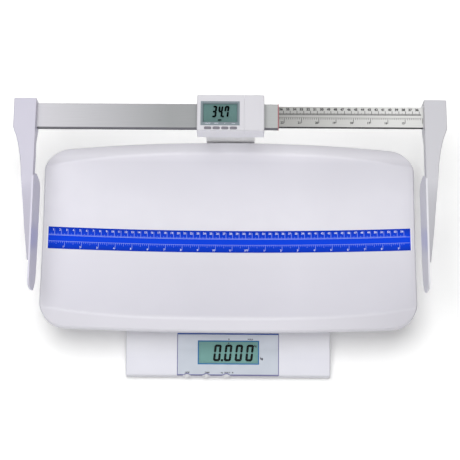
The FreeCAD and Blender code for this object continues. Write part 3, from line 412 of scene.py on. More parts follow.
def make_finishes(shell, prints):
    tray, base, box = tuple(shell.tray), tuple(shell.base), tuple(shell.display_box)
    left, right = tuple(shell.left_arm), tuple(shell.right_arm)
    plain = (1.0, 1.0, 1.0)
    tray_shell = moulded_plastic("tray_shell_satin", tray, 0.42, shell.grain)
    toned_along(tray_shell, plain, (0.885, 0.885, 0.885), (0.10, 0.25))         # painted shade, darker towards the right end
    toned_along(tray_shell, plain, (1.13, 1.13, 1.12), (0.120, 0.130), "Y")     # painted light on the rear land, where the box's shadow falls
    base_shell = moulded_plastic("base_shell_satin", base, 0.38, shell.grain)
    toned_along(base_shell, plain, (1.20, 1.20, 1.16), (-0.165, -0.135), "Y")   # painted light on the slope up to the tray, where the tray's shadow falls
    # painted shade on the console's front face, as of the shadow at its foot
    fronted(base_shell, shade(base, 0.88), -0.9)
    display_box = moulded_plastic("display_box_satin", box, 0.38, shell.grain)
    # painted light on the display box's front face
    fronted(display_box, (0.950, 0.945, 0.955), -0.8)
    tube = brushed_metal("tube_anodised_painted_reflection", (0.69, 0.68, 0.72), "X", 0.35, 0.5)
    toned_along(tube, (0.94, 0.94, 0.94), (0.48, 0.50, 0.48), (-0.28, -0.09))   # painted reflection, darker towards the box on its left
    toned_along(tube, (0.70, 0.70, 0.70), (0.98, 0.98, 0.96), (-0.05, 0.05))    # painted reflection, lighter to the right of the box
    # painted shade on the tube's front face
    fronted(tube, (0.16, 0.16, 0.17))
    ruler = brushed_metal("ruler_anodised_painted_reflection", (0.54, 0.54, 0.53), "X", 0.35, 0.5)
    # painted reflection, darker towards the box
    toned_along(ruler, (0.42, 0.42, 0.41), plain, (0.06, 0.24))
    # painted shade, near black, on the ruler's front face
    fronted(ruler, (0.018, 0.018, 0.02))
    return {
        "tray": tray_shell, "base": base_shell, "box": display_box, "tube": tube, "ruler": ruler,
        "pan": moulded_plastic("base_pan_matt", shade(base, 0.97), 0.52, 0.0014, 0.00004),
        "left_arm": moulded_plastic("left_arm_satin", left, 0.38, shell.grain),
        # the paddles take the arms' colours made lighter: painted light on their upright faces
        "left_paddle": moulded_plastic("left_paddle_satin_painted_light", shade(left, 1.13), 0.38, shell.grain),
        "right_arm": moulded_plastic("right_arm_satin", right, 0.38, shell.grain),
        "right_paddle": moulded_plastic("right_paddle_satin_painted_light", shade(right, 1.28), 0.38, shell.grain),
        "bezel": moulded_plastic("bezel_blue_grey", (0.180, 0.225, 0.250), 0.42, 0.0006),
        "pill": moulded_plastic("pill_button_grey", (0.190, 0.180, 0.212), 0.50, 0.0005, 0.00003),
        "button": moulded_plastic("console_button_white", (0.74, 0.74, 0.77), 0.34, 0.0006),
        "socket": moulded_plastic("socket_black", (0.022, 0.022, 0.026), 0.45, 0.0005),
        "nylon": moulded_plastic("slider_nylon", (0.78, 0.78, 0.74), 0.48, 0.0005, 0.00003),
        "index": moulded_plastic("index_ring_red", (0.32, 0.100, 0.115), 0.40, 0.0005),
        # the bracket's near-white colour is painted light, where the box's shadow falls
        "bracket": brushed_metal("bracket_silver_coat_painted_light", (0.925, 0.930, 0.910), "Z", 0.55, 0.50, 0.015),
        "cell": brushed_metal("load_cell_milled", (0.62, 0.63, 0.64), "Y"),
        "plate": brushed_metal("plate_galvanised", (0.50, 0.51, 0.51), "Y", 0.9, 0.42, 0.16),
        "screw": brushed_metal("screw_zinc", (0.52, 0.52, 0.50), "Z", 1.0, 0.30),
        "contact": brushed_metal("contact_nickel", (0.46, 0.45, 0.41), "Z", 0.6, 0.40, 0.06),
        "tape": tape_film("tape_blue_film", tuple(prints.tape_ink)),
        "label": label_film("label_silver_film"),
        "window": clear_window("window_clear_plastic"),
        "weight_lcd": display_glass("weight_display_ground", (0.192, 0.394, 0.362)),
        "length_lcd": display_glass("length_display_ground", (0.120, 0.222, 0.212)),
        "board": board_finish("board_green_mask"),
        "rubber": rubber_finish("foot_rubber_grey", (0.045, 0.045, 0.048)),
        "battery": wrapped_cell("battery_wrap"),
        "white_ink": printed_film("ink_white", (0.80, 0.84, 0.95), 0.40),
        "grey_ink": printed_film("ink_grey", (0.05, 0.05, 0.065), 0.42, 0.08),
        "ruler_ink": printed_film("ink_ruler", (0.028, 0.028, 0.030), 0.42, 0.08),
        "tick_ink": printed_film("ink_tape_ticks", (0.290, 0.375, 0.850), 0.45, gloss_level=0.05),
        "edge_ink": printed_film("ink_label_edge", (0.260, 0.255, 0.330), 0.40),
        "blue_ink": printed_film("ink_blue", (0.028, 0.090, 0.400), 0.38, 0.05),
        "violet_ink": printed_film("ink_violet", (0.150, 0.145, 0.330), 0.38, 0.05),
        "teal_ink": printed_film("ink_window_border", (0.012, 0.150, 0.370), 0.38, 0.05),
        "segment": printed_film("display_segment", (0.002, 0.004, 0.004), 0.50, 0.15, 0.0),
    }


NODE_FINISH = {
    "tray": "tray", "measuring_tape": "tape", "base_cover": "base", "base_pan": "pan",
    "rubber_feet": "rubber", "case_screws": "screw", "console_label": "label",
    "weight_window": "window", "weight_display": "weight_lcd", "main_board": "board",
    "button_board": "board", "load_cell": "cell", "cell_base_spacer": "plate",
    "cell_top_spacer": "plate", "load_cell_bolts": "screw", "load_plate": "plate",
    "tray_rails": "plate", "tray_screws": "screw", "battery_box": "pan", "aa_cells": "battery",
    "battery_contacts": "contact", "battery_door": "pan", "power_inlet": "socket",
    "rear_bracket": "bracket", "bracket_screws": "screw", "bracket_nut_plate": "plate",
    "outer_tube": "tube", "tube_guide": "nylon", "index_ring": "index", "ruler": "ruler",
    "ruler_shoe": "nylon", "length_case_base": "box", "length_case_top": "box",
    "length_battery_cover": "box", "length_case_screws": "screw", "rod_screws": "screw",
    "length_chassis": "pan", "length_board": "board", "length_sensor": "socket",
    "length_display": "length_lcd", "length_window": "window", "length_bezel": "bezel",
    "coin_holder": "socket", "coin_cell": "contact", "left_arm": "left_arm", "right_arm": "right_arm",
    "left_paddle": "left_paddle", "right_paddle": "right_paddle", "left_arm_screws": "screw",
    "right_arm_screws": "screw"}
FINISHES = {}


# ---- modelling helpers ----
def deselect():
    bpy.ops.object.select_all(action="DESELECT")


def select_only(*pieces):
    deselect()
    for piece in pieces:
        piece.select_set(True)
    bpy.context.view_layer.objects.active = pieces[-1]


def apply_place(piece):
    select_only(piece)
    bpy.ops.object.transform_apply(location=True, rotation=True, scale=True)
    return piece


def plate(x0, x1, y0, y1, z=0.0, across=1):
    """A flat plate, divided along X where it has to follow a curve."""
    deselect()
    middle = ((x0 + x1) / 2, (y0 + y1) / 2, z)
    if across > 1:
        bpy.ops.mesh.primitive_grid_add(x_subdivisions=across, y_subdivisions=1, size=1.0, location=middle)
    else:
        bpy.ops.mesh.primitive_plane_add(size=1.0, location=middle)
    piece = bpy.context.object
    piece.scale = (x1 - x0, y1 - y0, 1.0)
    return apply_place(piece)


def plates(strips):
    """Flat plates from their edges in millimetres."""
    return [plate(*(edge * MM for edge in strip)) for strip in strips]


def repeat(piece, count, step):
    """Sets out copies of a tick at an even step along X."""
    row = piece.modifiers.new("row", "ARRAY")
    row.use_relative_offset = False
    row.use_constant_offset = True
    row.constant_offset_displace = (step, 0.0, 0.0)
    row.count = count
    select_only(piece)
    bpy.ops.object.modifier_apply(modifier=row.name)
    return piece


def thicken(piece, depth):
    """Builds a flat piece up, outwards from its face."""
    wall = piece.modifiers.new("wall", "SOLIDIFY")
    wall.thickness = depth
    wall.offset = 1.0
    select_only(piece)
    bpy.ops.object.modifier_apply(modifier=wall.name)
    return piece


def join(pieces, name):
    select_only(*pieces)
    if len(pieces) > 1:
        bpy.ops.object.join()
    piece = bpy.context.object
    piece.name = name
    piece.data.name = name
    return piece


def lettering(words, x, y, z, height, align="RIGHT", squeeze=1.0, weight=0.0):
    """Flat figures, height tall, whose middle line is at y, fattened by weight times the height."""
    deselect()
    bpy.ops.object.text_add(location=(x, y, z))
    piece = bpy.context.object
    piece.data.body = words
    piece.data.size = height / CAPITAL
    piece.data.align_x = align
    piece.data.align_y = "CENTER"
    piece.data.resolution_u = 3
    piece.data.offset = weight * height
    piece.scale = (squeeze, 1.0, 1.0)
    bpy.ops.object.convert(target="MESH")
    return apply_place(bpy.context.object)


def rim_only(piece, line):
    """Leaves only the rim of a flat piece, line wide."""
    bpy.ops.object.mode_set(mode="EDIT")
    bpy.ops.mesh.select_all(action="SELECT")
    bpy.ops.mesh.inset(thickness=line)
    bpy.ops.mesh.delete(type="FACE")
    bpy.ops.object.mode_set(mode="OBJECT")
    return piece


def select_where(piece, test):
    """Selects the vertices of a piece that pass the test, and enters edit mode by vertex."""
    select_only(piece)
    bpy.ops.object.mode_set(mode="EDIT")
    bpy.ops.mesh.select_mode(type="VERT")
    bpy.ops.mesh.select_all(action="DESELECT")
    bpy.ops.object.mode_set(mode="OBJECT")
    for vertex in piece.data.vertices:
        vertex.select = test(vertex.co)
    bpy.ops.object.mode_set(mode="EDIT")
    bpy.ops.mesh.select_mode(type="EDGE")


def round_selected(offset, segments):
    bpy.ops.mesh.bevel(offset=offset, segments=segments, profile=0.5, affect="EDGES")
    bpy.ops.object.mode_set(mode="OBJECT")


def smooth(piece):
    select_only(piece)
    bpy.ops.object.shade_smooth_by_angle(angle=math.radians(35.0))


def lcd_bar(x, y, length, width, upright):
    """One bar of a display digit, with its corners cut off."""
    corner = width * 0.34
    half_x, half_y = (width / 2, length / 2) if upright else (length / 2, width / 2)
    piece = plate(x - half_x, x + half_x, y - half_y, y + half_y)
    bpy.ops.object.mode_set(mode="EDIT")
    bpy.ops.mesh.select_all(action="SELECT")
    bpy.ops.mesh.bevel(offset=corner, segments=1, affect="VERTICES")
    bpy.ops.object.mode_set(mode="OBJECT")
    return piece


def lcd_digit(figure, x, y, width, height, stroke):
    """The bars of a digit whose lower left corner is at x, y."""
    gap = stroke * 0.16
    flat = width - stroke * 0.55 - gap
    tall = height / 2 - stroke * 0.28 - gap
    left, right = x + stroke / 2, x + width - stroke / 2
    low, high = y + height / 4 + stroke * 0.07, y + height * 3 / 4 - stroke * 0.07
    places = {
        "a": (x + width / 2, y + height - stroke / 2, flat, False),
        "b": (right, high, tall, True), "c": (right, low, tall, True),
        "d": (x + width / 2, y + stroke / 2, flat, False),
        "e": (left, low, tall, True), "f": (left, high, tall, True),
        "g": (x + width / 2, y + height / 2, flat, False)}
    bars = []
    for bar in LCD_BARS[figure]:
        bar_x, bar_y, length, upright = places[bar]
        bars.append(lcd_bar(bar_x, bar_y, length, stroke, upright))
    return bars


def lean(piece, angle, foot):
    """Slants a flat reading about its foot line."""
    slope = math.tan(angle)
    piece.data.transform(Matrix(((1, slope, 0, -slope * foot), (0, 1, 0, 0), (0, 0, 1, 0), (0, 0, 0, 1))))
    return piece


def print_on_console(piece, face):
    """Prints what is drawn flat, as x and up-the-slope, on one of the console's faces."""
    place = Matrix.Translation(CONSOLE_EDGE) @ Matrix.Rotation(CONSOLE_SLOPE, 4, "X")
    piece.data.transform(place @ Matrix.Translation((0.0, 0.0, face + 0.02 * MM)))
    return thicken(piece, 0.05 * MM)


def print_level(piece, face):
    """Prints what is drawn flat on a level face."""
    piece.data.transform(Matrix.Translation((0.0, 0.0, face + 0.01 * MM)))
    return thicken(piece, 0.04 * MM)


def settle(piece, finish, body):
    piece.data.materials.clear()
    piece.data.materials.append(FINISHES[finish])
    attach(piece, body)
    return piece


# ---- tape ----
def tape_place(centimetres):
    return TAPE_ZERO + TAPE_CM * centimetres


def tape_ticks(width):
    """The rows of ticks: step and count, lower and upper end, width, and the first one's reading."""
    middle, thin = TRAY_MIDDLE.y, width * 0.7
    foot, head = middle + CM_FOOT, middle + INCH_FOOT
    rows = [
        (1.0, 54, foot, middle + CM_HEAD, width, 1.0),
        (1.0, 54, foot, foot + 3.2 * MM, thin, 0.5),
        (0.1, 543, foot, foot + 1.9 * MM, thin * 0.8, 0.1),
        (INCH, 21, middle + INCH_HEAD, head, width, INCH),
        (INCH, 21, head - 4.6 * MM, head, thin, INCH / 2),
        (INCH / 8, 170, head - 2.8 * MM, head, thin, INCH / 8)]
    ticks = []
    for step, count, low, high, wide, first in rows:
        at = tape_place(first)
        tick = plate(at - wide / 2, at + wide / 2, low, high, OVER_TRAY)
        ticks.append(repeat(tick, count, step * TAPE_CM))
    return ticks


def tape_lines():
    """The two lines that the ticks stand on, divided along so that they follow the tape's curve."""
    left, right, half, divisions = -0.2713, 0.2705, 0.29 * MM, 240
    rows = (TRAY_MIDDLE.y + 3.8 * MM, TRAY_MIDDLE.y - 5.4 * MM)
    return [plate(left, right, y - half, y + half, OVER_TRAY, divisions) for y in rows]


def tape_figures(height):
    marks = [(str(mark), mark, -1.0 * MM, CM_FIGURES) for mark in range(1, 55)]
    for mark in range(1, 22):
        words = str(mark) if mark < 12 else "1FT" if mark == 12 else str(mark - 12)
        marks.append((words, mark * INCH, -0.9 * MM, INCH_FIGURES))
    return [lettering(words, tape_place(at) + aside, TRAY_MIDDLE.y + up, OVER_TRAY, height,
                      squeeze=0.95, weight=0.04) for words, at, aside, up in marks]


def lay_on_tape(piece):
    """Drops a flat strip of print on the tape's curve."""
    drop = piece.modifiers.new("drop", "SHRINKWRAP")
    drop.target = NODES["measuring_tape"]
    drop.wrap_method = "PROJECT"
    drop.use_project_z = True
    drop.use_positive_direction = False
    drop.use_negative_direction = True
    drop.offset = 0.05 * MM
    select_only(piece)
    bpy.ops.object.modifier_apply(modifier=drop.name)
    return thicken(piece, 0.04 * MM)


class BABYSCALE_OT_tape_print(bpy.types.Operator):
    """Prints the centimetre and inch scales on the tape in the tray"""
    bl_idname = "baby_scale.tape_print"
    bl_label = "Tape print"

    def execute(self, context):
        sizes = context.scene.baby_scale_print
        ticks = join(tape_ticks(sizes.tick_width) + tape_lines(), "tape_marks")
        settle(lay_on_tape(ticks), "tick_ink", "base")
        figures = join(tape_figures(sizes.figure_height), "tape_figures")
        settle(lay_on_tape(figures), "white_ink", "base")
        return {"FINISHED"}


# ---- ruler ----
def ruler_place(length_cm):
    """X of a reading on the ruler, which counts down towards the right arm."""
    known_place, known_reading = 71.7, 56.68   # in millimetres and centimetres
    return (known_place + (known_reading - length_cm) * 10.0) * MM


def ruler_ticks(rear):
    """The rows of ticks, set out as the tape's are, with their steps in millimetres."""
    foot, head = rear - 13.1 * MM, rear - 17.2 * MM
    wide, half_line = 0.75 * MM, 0.15 * MM
    first_cm, first_inch, last = ruler_place(64.0), ruler_place(25 * INCH), ruler_place(35.7)
    rows = [
        (10.0, 29, foot, foot + 6.6 * MM, wide, first_cm),
        (5.0, 57, foot, foot + 3.4 * MM, wide * 0.8, first_cm),
        (1.0, 283, foot, foot + 2.6 * MM, wide * 0.75, first_cm),
        (25.4, 12, head - 8.6 * MM, head, wide, first_inch),
        (3.175, 88, head - 3.0 * MM, head, wide * 0.9, first_inch)]
    ticks = []
    for step, count, low, high, width, at in rows:
        ticks.append(repeat(plate(at - width / 2, at + width / 2, low, high), count, step * MM))
    for y in (foot, head):
        ticks.append(plate(first_cm, last, y - half_line, y + half_line))
    return ticks


def ruler_figures(rear, height):
    upper, lower, aside = rear - 4.4 * MM, rear - 25.4 * MM, 0.8 * MM
    figures = [lettering(str(mark), ruler_place(mark) - aside, upper, 0.0, height, weight=0.07)
               for mark in range(36, 64)]
    for mark in range(15, 26):
        figures.append(lettering(str(mark), ruler_place(mark * INCH) - aside, lower, 0.0,
                                 height * 0.9, weight=0.06))
    return figures


class BABYSCALE_OT_ruler_print(bpy.types.Operator):
    """Prints the scales on the sliding ruler"""
    bl_idname = "baby_scale.ruler_print"
    bl_label = "Ruler print"

    def execute(self, context):
        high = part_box("ruler")[1]
        sizes = context.scene.baby_scale_print
        ticks = join(ruler_ticks(high.y), "ruler_marks")
        figures = join(ruler_figures(high.y, sizes.ruler_figure), "ruler_figures")
        for piece in (ticks, figures):
            print_level(piece, high.z)
            settle(piece, "ruler_ink", "ruler")
        return {"FINISHED"}


# ---- console ----
def arch_over(x):
    """The printed line that arches over a button's scoop."""
    radius, middle, line, foot = 7.5 * MM, -4.1 * MM, 1.2 * MM, 0.8 * MM
    deselect()
    bpy.ops.mesh.primitive_circle_add(vertices=64, radius=radius, fill_type="NGON",
                                      location=(x * MM, middle, 0.0))
    piece = rim_only(apply_place(bpy.context.object), line)
    bpy.ops.object.mode_set(mode="EDIT")
    bpy.ops.mesh.select_all(action="SELECT")
    bpy.ops.mesh.bisect(plane_co=(0, foot, 0), plane_no=(0, 1, 0), clear_inner=True)
    bpy.ops.object.mode_set(mode="OBJECT")
    return piece


def between_scoops(half, scoop, foot, head):
    """Strips, in millimetres, that leave out the scoops round the buttons."""
    stops = [-half]
    for x in BUTTON_PLACES:
        stops += [x - scoop, x + scoop]
    stops.append(half)
    return [(stops[i], stops[i + 1], foot, head) for i in range(0, len(stops), 2)]


def label_lines():
    """The violet outline of the label, open where the scoops cut its lower edge."""
    half, foot, line, scoop = 76.9, 0.1, 1.5, 5.2
    head = LABEL_HEAD - HEAD_LINE
    strips = [(-half, -half + line, foot, head), (half - line, half, foot, head)]
    strips += between_scoops(half - line, scoop, foot, foot + line)
    return plates(strips) + [arch_over(x) for x in BUTTON_PLACES]


def nose_strips():
    """The label's edge, folded down over the front face between the scoops."""
    half, scoop, low, high = 76.0, 6.2, 13.6, 17.3
    piece = join(plates(between_scoops(half, scoop, low, high)), "label_edge")
    stand = Matrix.Translation((CONSOLE_EDGE.x, CONSOLE_EDGE.y - 0.02 * MM, 0.0))
    piece.data.transform(stand @ Matrix.Rotation(math.pi / 2, 4, "X"))
    return thicken(piece, 0.05 * MM)


class BABYSCALE_OT_console_print(bpy.types.Operator):
    """Prints the label's outline, the window's border and the marks over the buttons"""
    bl_idname = "baby_scale.console_print"
    bl_label = "Console print"

    def execute(self, context):
        outline = label_lines()
        head_line = plates([(-76.2, 76.2, LABEL_HEAD - HEAD_LINE, LABEL_HEAD)])
        border = rim_only(plates([(-45.6, 46.8, 16.5, 52.5)])[0], 1.8 * MM)
        over_buttons, over_window = 4.4, 54.2
        words = [lettering(text, x * MM, v * MM, 0.0, size * MM, "CENTER", squeeze, 0.07)
                 for text, x, v, size, squeeze in (
                     ("ON/OFF", -61.1, over_buttons, 1.8, 0.75), ("TARE", -31.2, over_buttons, 1.8, 1.2),
                     ("kg   HOLD   lb", -1.1, over_buttons, 1.8, 1.25), ("0", 1.3, over_window, 2.4, 1.0),
                     ("HOLD", 33.5, over_window, 2.1, 1.0), ("kg", 50.4, 25.8, 3.3, 1.0))]
        for pieces, name, ink in (
                (outline, "label_outline", "violet_ink"), (head_line, "label_head_line", "blue_ink"),
                ([border], "window_border", "teal_ink"), (words, "label_words", "grey_ink")):
            piece = print_on_console(join(pieces, name), LABEL_FACE)
            settle(piece, ink, "base")
        settle(nose_strips(), "edge_ink", "base")
        return {"FINISHED"}


class BABYSCALE_OT_console_buttons(bpy.types.Operator):
    """Models the three domed buttons in the front of the console"""
    bl_idname = "baby_scale.console_buttons"
    bl_label = "Console buttons"

    def execute(self, context):
        for name in ("left", "middle", "right"):
            node = "console_button_" + name
            low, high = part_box(node)
            tip_y = low.y
            deselect()
            bpy.ops.mesh.primitive_cylinder_add(
                vertices=64, radius=BUTTON_RADIUS, depth=high.y - tip_y, rotation=(math.pi / 2, 0, 0),
                location=((low.x + high.x) / 2, (tip_y + high.y) / 2, BUTTON_HEIGHT))
            cap = apply_place(bpy.context.object)
            select_where(cap, lambda co: co.y < tip_y + 0.1 * MM)
            round_selected(BUTTON_DOME, 10)
            flange = plate(low.x, high.x, low.z, high.z)
            flange.data.transform(Matrix.Translation((0, high.y, 0)) @ Matrix.Rotation(math.pi / 2, 4, "X"))
            thicken(flange, 1.2 * MM)
            cap = join([flange, cap], node + "_dome")
            smooth(cap)
            settle(cap, "button", node)
            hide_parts(node)
        return {"FINISHED"}


# ---- displays ----
def reading(name, text, slant, left, foot, pitch, width, height, stroke):
    """The bars of a reading and its decimal point, drawn flat and then slanted."""
    pieces, column = [], 0
    for figure in text:
        x = left + pitch * column
        if figure == ".":
            point = stroke * 0.95
            x0 = x - (pitch - width) * 0.5 - stroke * 0.45
            pieces.append(plate(x0, x0 + point, foot, foot + point))
            continue
        pieces += lcd_digit(figure, x, foot, width, height, stroke)
        column += 1
    return lean(join(pieces, name), slant, foot)


class BABYSCALE_OT_weight_reading(bpy.types.Operator):
    """Sets the bars of the weight display"""
    bl_idname = "baby_scale.weight_reading"
    bl_label = "Weight reading"

    def execute(self, context):
        shown = context.scene.baby_scale_readings
        digits = reading("weight_digits", shown.weight, shown.slant, left=-22.8 * MM, foot=21.3 * MM,
                         pitch=16.15 * MM, width=10.9 * MM, height=25.2 * MM, stroke=3.5 * MM)
        unit = lettering("kg", 41.0 * MM, 44.6 * MM, 0.0, 3.0 * MM, "CENTER", weight=0.05)
        deselect()
        bpy.ops.mesh.primitive_circle_add(vertices=3, radius=1.7 * MM, fill_type="NGON",
                                          location=(1.0 * MM, 48.3 * MM, 0.0))
        arrow = apply_place(bpy.context.object)
        marks = join([unit, arrow], "weight_unit")
        for piece, finish in ((digits, "segment"), (marks, "grey_ink")):
            print_on_console(piece, GLASS_FACE)
            settle(piece, finish, "base")
        return {"FINISHED"}


class BABYSCALE_OT_length_reading(bpy.types.Operator):
    """Sets the bars of the length display and the marks on its bezel"""
    bl_idname = "baby_scale.length_reading"
    bl_label = "Length reading"

    def execute(self, context):
        shown = context.scene.baby_scale_readings
        side, middle = TRAY_MIDDLE
        digits = reading("length_digits", shown.length, shown.slant, left=side - 26.0 * MM,
                         foot=middle + 152.8 * MM, pitch=8.9 * MM, width=6.8 * MM, height=18.0 * MM,
                         stroke=2.75 * MM)
        unit = join([lettering("cm", side - 14.0 * MM, middle + 148.9 * MM, 0.0, 3.1 * MM, "CENTER",
                               weight=0.06)], "length_unit")
        in_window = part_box("length_display")[1].z + 1.0 * MM
        words_y = middle + 142.4 * MM
        words = [lettering(text, side + x * MM, words_y, 0.0, 1.6 * MM, "CENTER", weight=0.02)
                 for text, x in (("ON/OFF", -31.3), ("HOLD", -18.8), ("0", -6.3), ("cm/in", 6.2))]
        marks = join(words, "bezel_words")
        on_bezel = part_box("length_bezel")[1].z
        for piece, face, finish, slot in (
                (digits, in_window, "segment", "lcd_glass"), (unit, in_window, "segment", "lcd_glass"),
                (marks, on_bezel, "white_ink", "bezel_plastic")):
            print_level(piece, face)
            settle(piece, finish, "base")
        return {"FINISHED"}


class BABYSCALE_OT_pill_buttons(bpy.types.Operator):
    """Models the four soft pill buttons under the length display"""
    bl_idname = "baby_scale.pill_buttons"
    bl_label = "Pill buttons"

    def execute(self, context):
        for number in range(1, 5):
            node = "length_button_%d" % number
            length, width, corner, edge_round = 10.5 * MM, 4.0 * MM, 1.95 * MM, 0.8 * MM
            low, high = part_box(node)
            middle_x, middle_y = (low.x + high.x) / 2, TRAY_MIDDLE.y + 135.5 * MM
            deselect()
            bpy.ops.mesh.primitive_cube_add(size=1.0, location=(middle_x, middle_y, (low.z + high.z) / 2))
            pill = bpy.context.object
            pill.scale = (length, width, high.z - low.z)
            apply_place(pill)
            bpy.ops.object.mode_set(mode="EDIT")
            bpy.ops.mesh.select_all(action="DESELECT")
            bpy.ops.object.mode_set(mode="OBJECT")
            for edge in pill.data.edges:
                ends = [pill.data.vertices[i].co for i in edge.vertices]
                edge.select = abs(ends[0].z - ends[1].z) > 1 * MM
            bpy.ops.object.mode_set(mode="EDIT")
            bpy.ops.mesh.select_mode(type="EDGE")
            round_selected(corner, 8)
            select_where(pill, lambda co: co.z > high.z - 0.05 * MM)
            round_selected(edge_round, 4)
            pill = join([pill], node + "_cap")
            smooth(pill)
            settle(pill, "pill", node)
            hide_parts(node)
        return {"FINISHED"}


# ---- finishes of the solid parts ----
class BABYSCALE_OT_finishes(bpy.types.Operator):
    """Makes the finishes and gives every solid part its own"""
    bl_idname = "baby_scale.finishes"
    bl_label = "Finishes"

    def execute(self, context):
        scene = context.scene
        FINISHES.update(make_finishes(scene.baby_scale_shell, scene.baby_scale_print))
        for name, node in NODES.items():
            finish = FINISHES[NODE_FINISH.get(name, "pill" if name.startswith("length_button") else "button")]
            for slot in node.material_slots:
                slot.material = finish
        return {"FINISHED"}


# ---- studio ----
def seen_directly(tree):
    """One where the camera, a reflection or a see-through part looks, nought elsewhere."""
    path = tree.nodes.new("ShaderNodeLightPath")
    seen = path.outputs["Is Camera Ray"]
    for name in ("Is Glossy Ray", "Is Transmission Ray"):
        either = tree.nodes.new("ShaderNodeMath")
        either.operation = "MAXIMUM"
        tree.links.new(seen, either.inputs[0])
        tree.links.new(path.outputs[name], either.inputs[1])
        seen = either.outputs["Value"]
    return seen


def mix_shaders(tree, share, first, second, out):
    mix = tree.nodes.new("ShaderNodeMixShader")
    tree.links.new(share, mix.inputs["Fac"])
    tree.links.new(first, mix.inputs[1])
    tree.links.new(second, mix.inputs[2])
    tree.links.new(mix.outputs["Shader"], out.inputs["Surface"])


def plain_shader(tree, kind, colour, strength=None):
    """A shader of one even colour."""
    shader = tree.nodes.new(kind)
    shader.inputs["Color"].default_value = (*colour, 1.0)
    if strength is not None:
        shader.inputs["Strength"].default_value = strength
    return shader.outputs[0]


def floor_finish():
    """A floor that is white where it is seen, with a soft shadow, and plain paper to the light."""
    finish = bpy.data.materials.new("studio_floor_white")
    finish.use_nodes = True
    tree = finish.node_tree
    tree.nodes.clear()
    out = tree.nodes.new("ShaderNodeOutputMaterial")
    paper = plain_shader(tree, "ShaderNodeBsdfDiffuse", (0.80, 0.80, 0.80))
    both = tree.nodes.new("ShaderNodeAddShader")
    tree.links.new(plain_shader(tree, "ShaderNodeBsdfDiffuse", (1.20, 1.20, 1.19)), both.inputs[0])
    tree.links.new(plain_shader(tree, "ShaderNodeEmission", (1.0, 1.0, 1.0), 0.02), both.inputs[1])
    mix_shaders(tree, seen_directly(tree), paper, both.outputs["Shader"], out)
    return finish


def studio_world(strength):
    world = bpy.data.worlds.new("studio_sky")
    bpy.context.scene.world = world
    world.use_nodes = True
    tree = world.node_tree
    tree.nodes.clear()
    out = tree.nodes.new("ShaderNodeOutputWorld")
    light = plain_shader(tree, "ShaderNodeBackground", (0.985, 0.985, 1.0), strength)
    paper = plain_shader(tree, "ShaderNodeBackground", (1.0, 1.0, 1.0), 1.0)
    mix_shaders(tree, seen_directly(tree), light, paper, out)


def soft_lamp(name, place, size, power):
    """A large square lamp that is aimed at the scale."""
    deselect()
    bpy.ops.object.light_add(type="AREA", location=place)
    lamp = bpy.context.object
    lamp.name = name
    lamp.data.shape = "SQUARE"
    lamp.data.size = size
    lamp.data.energy = power
    lamp.rotation_euler = (LAMP_AIM - Vector(place)).to_track_quat("-Z", "Y").to_euler()


def aim_camera(place, turn, lens):
    yaw, pitch, roll = turn
    ahead = Vector((math.sin(yaw) * math.cos(pitch), math.cos(yaw) * math.cos(pitch), -math.sin(pitch)))
    right = Vector((math.cos(yaw), -math.sin(yaw), 0.0))
    up = right.cross(ahead)
    side = right * math.cos(roll) + up * math.sin(roll)
    head = up * math.cos(roll) - right * math.sin(roll)
    deselect()
    bpy.ops.object.camera_add(location=place)
    camera = bpy.context.object
    camera.name = "studio_camera"
    axes = Matrix((side, head, -ahead)).transposed()
    camera.matrix_world = Matrix.Translation(place) @ axes.to_4x4()
    camera.data.lens = lens
    camera.data.sensor_width = 36.0
    camera.data.clip_end = 50.0
    bpy.context.scene.camera = camera


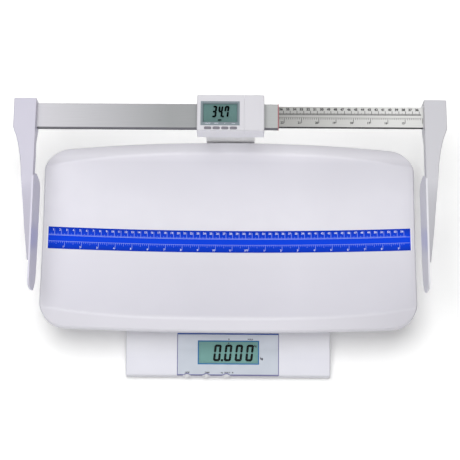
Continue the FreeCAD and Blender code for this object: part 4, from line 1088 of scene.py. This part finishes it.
class BABYSCALE_OT_studio(bpy.types.Operator):
    """Sets up the white floor, the soft lamps and the camera"""
    bl_idname = "baby_scale.studio"
    bl_label = "Studio"

    def execute(self, context):
        studio = context.scene.baby_scale_studio
        floor = plate(-FLOOR_HALF, FLOOR_HALF, -FLOOR_HALF, FLOOR_HALF)
        floor.name = "studio_floor"
        floor.data.materials.append(floor_finish())
        studio_world(studio.sky)
        for name, place, size, power in (
                ("key_lamp", (-0.25, 0.1, 3.2), 2.0, studio.key_light),
                ("front_lamp", (0.0, -2.6, 1.15), 1.6, studio.front_light),
                ("back_lamp", (0.0, 2.4, 1.6), 2.4, studio.back_light)):
            soft_lamp(name, place, size, power)
        aim_camera(Vector(studio.camera_place), tuple(studio.camera_turn), studio.lens)
        context.scene.view_settings.view_transform = "Standard"
        return {"FINISHED"}


# ---- panel and registration ----
PIECE_OPERATORS = (
    BABYSCALE_OT_finishes, BABYSCALE_OT_tape_print, BABYSCALE_OT_ruler_print,
    BABYSCALE_OT_console_print, BABYSCALE_OT_console_buttons, BABYSCALE_OT_weight_reading,
    BABYSCALE_OT_length_reading, BABYSCALE_OT_pill_buttons, BABYSCALE_OT_studio)
SETTINGS = {
    "baby_scale_shell": ShellColours, "baby_scale_print": PrintSizes,
    "baby_scale_readings": DisplayReadings, "baby_scale_studio": StudioSettings}


class BABYSCALE_PT_panel(bpy.types.Panel):
    """Lists the scale's pieces and their settings"""
    bl_idname = "BABYSCALE_PT_panel"
    bl_label = "Baby Scale"
    bl_space_type = "VIEW_3D"
    bl_region_type = "UI"
    bl_category = "Baby Scale"

    def draw(self, context):
        for setting, group in SETTINGS.items():
            box = self.layout.box()
            for name in group.__annotations__:
                box.prop(getattr(context.scene, setting), name)
        for operator in PIECE_OPERATORS:
            self.layout.operator(operator.bl_idname)


def register():
    for group in SETTINGS.values():
        bpy.utils.register_class(group)
    for setting, group in SETTINGS.items():
        setattr(bpy.types.Scene, setting, bpy.props.PointerProperty(type=group))
    for operator in PIECE_OPERATORS:
        bpy.utils.register_class(operator)
    bpy.utils.register_class(BABYSCALE_PT_panel)


def unregister():
    bpy.utils.unregister_class(BABYSCALE_PT_panel)
    for operator in reversed(PIECE_OPERATORS):
        bpy.utils.unregister_class(operator)
    for setting in SETTINGS:
        delattr(bpy.types.Scene, setting)
    for group in reversed(list(SETTINGS.values())):
        bpy.utils.unregister_class(group)


def main():
    register()
    bpy.ops.baby_scale.finishes()
    bpy.ops.baby_scale.tape_print()
    bpy.ops.baby_scale.ruler_print()
    bpy.ops.baby_scale.console_print()
    bpy.ops.baby_scale.console_buttons()
    bpy.ops.baby_scale.weight_reading()
    bpy.ops.baby_scale.length_reading()
    bpy.ops.baby_scale.pill_buttons()
    bpy.ops.baby_scale.studio()


if __name__ == "__main__":
    main()
